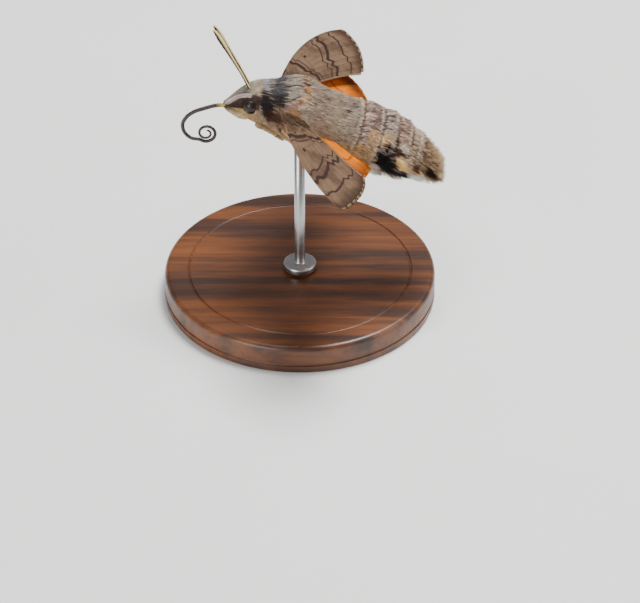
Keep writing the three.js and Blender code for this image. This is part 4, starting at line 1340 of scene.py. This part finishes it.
# %% Wings
def wing_pieces(name, wing, finish, rows, columns):
    """Upper and under faces of the wing, joined along the rim, then a fringe of scales on its margin."""
    u, v = np.meshgrid(np.linspace(0, 1, rows), np.linspace(0, 1, columns), indexing="ij")
    ridge, trough = vein_relief(wing, u, v)
    thin_tip = np.sqrt(np.clip(1.02 - u**10, 0.02, 1))
    thin_edges = np.sqrt(np.clip(32 * v * (1 - v) + 0.15, 0, 1))
    half = WING_THICKNESS / 2 * thin_tip * thin_edges
    upper = wing_point(wing, u, v, trough + half + ridge)
    under = wing_point(wing, u, v, trough - half - ridge)
    loop = np.concatenate([
        np.arange(columns), columns * np.arange(1, rows) + columns - 1,
        rows * columns - 2 - np.arange(columns - 1), (rows - 2 - np.arange(rows - 2)) * columns,
    ])
    after = np.roll(loop, -1)
    size = rows * columns
    rim = np.stack([loop, after, after + size, loop + size], -1)
    sheet = grid_faces(rows, columns, wrap=False)
    faces = [sheet[:, ::-1], sheet + size, rim]
    points = np.concatenate([upper.reshape(-1, 3), under.reshape(-1, 3)])
    marks = {
        "span": np.tile(u.ravel(), 2), "chord": np.tile(v.ravel(), 2),
        "upper": np.repeat([1.0, 0.0], size), "vein": np.tile(ridge.ravel() / VEIN_HEIGHT, 2),
    }
    for side, flip in SIDES:
        piece = new_piece(f"{name}_{side}_membrane", points * flip, faces, finish, marks=marks)
        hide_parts(f"{name}_{side}")


wing_pieces("forewing", FOREWING, forewing_finish, 92, 144)
wing_pieces("hindwing", HINDWING, hindwing_finish, 72, 112)


def wing_scales(name, wing, count, u, v, way_u, way_v, length, width, stand, colour):
    """Scales rooted at u, v on the wing that point a way given in shares of u and v."""
    reach = length * CHANCE.uniform(0.7, 1.2, count)
    small = 1e-3
    here = wing_point(wing, u, v, 0.0)
    way = unit(wing_point(wing, u + small * way_u, v + small * way_v, 0.0) - here)
    along_u = unit(wing_point(wing, u + small, v, 0.0) - here)
    along_v = unit(wing_point(wing, u, v + small, 0.0) - here)
    normal = unit(np.cross(along_u, along_v))
    normal = normal * np.sign(normal[:, 2:])
    s = SHORT[None, :, None]
    rise = stand[:, None] * SHORT[None] ** 1.5
    middles = here[:, None] + way[:, None] * (reach[:, None, None] * s) + normal[:, None] * rise[..., None]
    across = unit(np.cross(normal, way))[:, None] * np.ones((1, 3, 1))
    colour = tint(colour, 0.12, 0.05, count)
    root_uv = on_map(np.clip(u, 0, 1), np.clip(v, 0, 1))
    widths = width * CHANCE.uniform(0.7, 1.3, count)
    # Painted shade: wing scales are darker at the root, for the shade under their neighbours.
    made = blades(middles, across, widths, root_uv, colour * 0.8, colour)
    for side, flip in SIDES:
        coat_piece(f"{name}_{side}", made, flip)


FRINGE = [900, 500]  # how many scales on the outer margin and how many on the inner edge


def margin_fringe(name, wing, outer, inner):
    """A fringe along the outer margin, then one round the inner edge, chequered between two tones."""
    margin, edge = FRINGE
    v = np.concatenate([CHANCE.uniform(0.02, 0.99, margin), np.ones(edge)])
    u = np.concatenate([np.full(margin, 0.995), CHANCE.uniform(0.2, 0.99, edge)])
    way_u = np.repeat([1.0, 0.5], FRINGE)
    way_v = np.repeat([0.0, 1.0], FRINGE)
    check = (np.sin(v * 50) > 0.2)[:, None]
    colour = np.where(check, outer, inner)
    stand = CHANCE.normal(0, 0.02, len(u))
    wing_scales(name, wing, len(u), u, v, way_u, way_v, 0.42, 0.09, stand, colour)


def base_hairs(name, wing, count, colour):
    """Long hairs over the wing's root, on its upper side."""
    u = 0.03 + 0.2 * CHANCE.random(count) ** 1.6
    v = CHANCE.uniform(0.05, 0.95, count)
    stand = CHANCE.uniform(0.08, 0.3, count)
    colours = np.broadcast_to(colour, (count, 3))
    wing_scales(name, wing, count, u, v, 1.0, 0.3, 1.5, 0.1, stand, colours)


margin_fringe("forewing_fringe", FOREWING, light(92, 74, 62), light(150, 130, 110))
margin_fringe("hindwing_fringe", HINDWING, light(196, 120, 60), light(150, 92, 50))
base_hairs("forewing_hairs", FOREWING, 420, light(118, 100, 86))
base_hairs("hindwing_hairs", HINDWING, 320, light(196, 138, 72))

# %% [markdown]
# ## The stand
#
# A museum stand is a turned wooden disc and one thin steel rod. Both are turned shapes: a profile
# of radius against height, carried once round. The rod runs on up into the fur, where it is fixed.

# %% Stand
BASE_RADIUS, BASE_HEIGHT, BASE_GAP = 18.0, 4.0, 0.3
ROD_RADIUS, RING_RADIUS, RING_HEIGHT = 0.7, 2.2, 0.9
SEAT = BASE_HEIGHT + BASE_GAP  # the height at which the rod's foot ring begins
ROD_TOP = 26.6
EDGE, GROOVE = 0.7, 0.18  # radii of the disc's upper edge and of its grooves
CORE = 2.0  # the radius inside which the disc's faces close to their middle points


def lathe(profile, sides):
    """Radius and height turned once round the upright axis, shut at both ends by a middle point."""
    profile = np.asarray(profile, float)
    turn = 2 * np.pi * np.arange(sides) / sides
    x = profile[:, :1] * np.cos(turn)
    y = profile[:, :1] * np.sin(turn)
    return closed_rings(np.stack([x, y, np.broadcast_to(profile[:, 1:], x.shape)], -1))


def rounded(corner_r, corner_z, radius, from_degrees, to_degrees, count=9):
    """Points on a quarter round whose middle is at the corner given."""
    turn = np.radians(np.linspace(from_degrees, to_degrees, count))
    return np.column_stack([corner_r + radius * np.cos(turn), corner_z + radius * np.sin(turn)])


base_profile = np.concatenate([
    [[CORE, 0.0], [BASE_RADIUS - 0.5, 0.0]],
    rounded(BASE_RADIUS - 0.3, 0.3, 0.3, -90, 0, 5),
    [[BASE_RADIUS, 1.0]],
    rounded(BASE_RADIUS, 1.2, GROOVE, 270, 90, 9),
    [[BASE_RADIUS, 1.4]],
    rounded(BASE_RADIUS - EDGE, BASE_HEIGHT - EDGE, EDGE, 0, 90),
    [[BASE_RADIUS - 3.0, BASE_HEIGHT]],
    rounded(BASE_RADIUS - 3.2, BASE_HEIGHT, GROOVE, 0, -180, 9),
    [[BASE_RADIUS - 3.4, BASE_HEIGHT], [8.0, BASE_HEIGHT], [CORE, BASE_HEIGHT]],
])
wood_finish, tree, shader = material("dark turned wood", 0.4, Coat_Weight=0.15, Coat_Roughness=0.25)
places = own_places(tree)
banded = stretched(tree, places, (1.0, 14.0, 9.0), Location=(0.02, 0.06, 0.01))
bands = noise(tree, banded, 28.0, 6.0, 0.6)
fibre = noise(tree, stretched(tree, places, (120.0, 2600.0, 2600.0)), 1.0, 4.0)
wood = mixed(tree, ramp(tree, bands, 0.35, 0.68), light(46, 28, 20), light(104, 66, 44))
wood = mixed(tree, times(tree, ramp(tree, fibre, 0.5, 0.8), 0.5), wood, light(30, 18, 13))
tree.links.new(wood, shader.inputs["Base Color"])
raised(tree, fibre, 0.12, 0.0001, shader)
points, faces = lathe(base_profile, 160)
base = new_piece("stand_disc", points, faces, wood_finish, home=standing)
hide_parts("stand_base")

steel_finish, tree, shader = material("brushed steel", 0.3, Metallic=1.0)
scratches = noise(tree, stretched(tree, own_places(tree), (300.0, 300.0, 16000.0)), 1.0, 3.0)
steel = mixed(tree, scratches, light(150, 150, 152), light(205, 204, 202))
tree.links.new(steel, shader.inputs["Base Color"])
tree.links.new(plus(tree, times(tree, scratches, 0.25), 0.2), shader.inputs["Roughness"])
raised(tree, scratches, 0.15, 0.00002, shader)
rod_profile = np.concatenate([
    [[0.2, SEAT]],
    rounded(RING_RADIUS - 0.1, SEAT + 0.1, 0.1, -90, 0, 4),
    rounded(RING_RADIUS - 0.3, SEAT + RING_HEIGHT - 0.3, 0.3, 0, 90, 6),
    rounded(ROD_RADIUS + 0.25, SEAT + RING_HEIGHT + 0.25, 0.25, -90, -180, 6),
    [[ROD_RADIUS, SEAT + 3.0], [ROD_RADIUS, ROD_TOP], [0.2, ROD_TOP]],
])
points, faces = lathe(rod_profile, 64)
rod = new_piece("stand_steel", points, faces, steel_finish, home=standing)
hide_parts("stand_rod")

# %% [markdown]
# ## The floor
#
# The floor is pale and slightly mottled. It is staged: it shows in the picture and is no part of the
# moth.

# %% Floor
FLOOR_HALF = 2.0  # metres from the middle to each side

floor_finish, tree, shader = material("pale floor", 0.7)
mottle = noise(tree, own_places(tree), 40.0, 4.0)
pale = mixed(tree, mottle, light(226, 226, 224), light(232, 232, 231))
tree.links.new(pale, shader.inputs["Base Color"])
corners = [(x * FLOOR_HALF, y * FLOOR_HALF, 0) for x, y in ((-1, -1), (1, -1), (1, 1), (-1, 1))]
floor_mesh = bpy.data.meshes.new("floor")
floor_mesh.from_pydata(corners, [], [(0, 1, 2, 3)])
floor_mesh.materials.append(floor_finish)
floor = bpy.data.objects.new("floor", floor_mesh)
bpy.context.scene.collection.objects.link(floor)
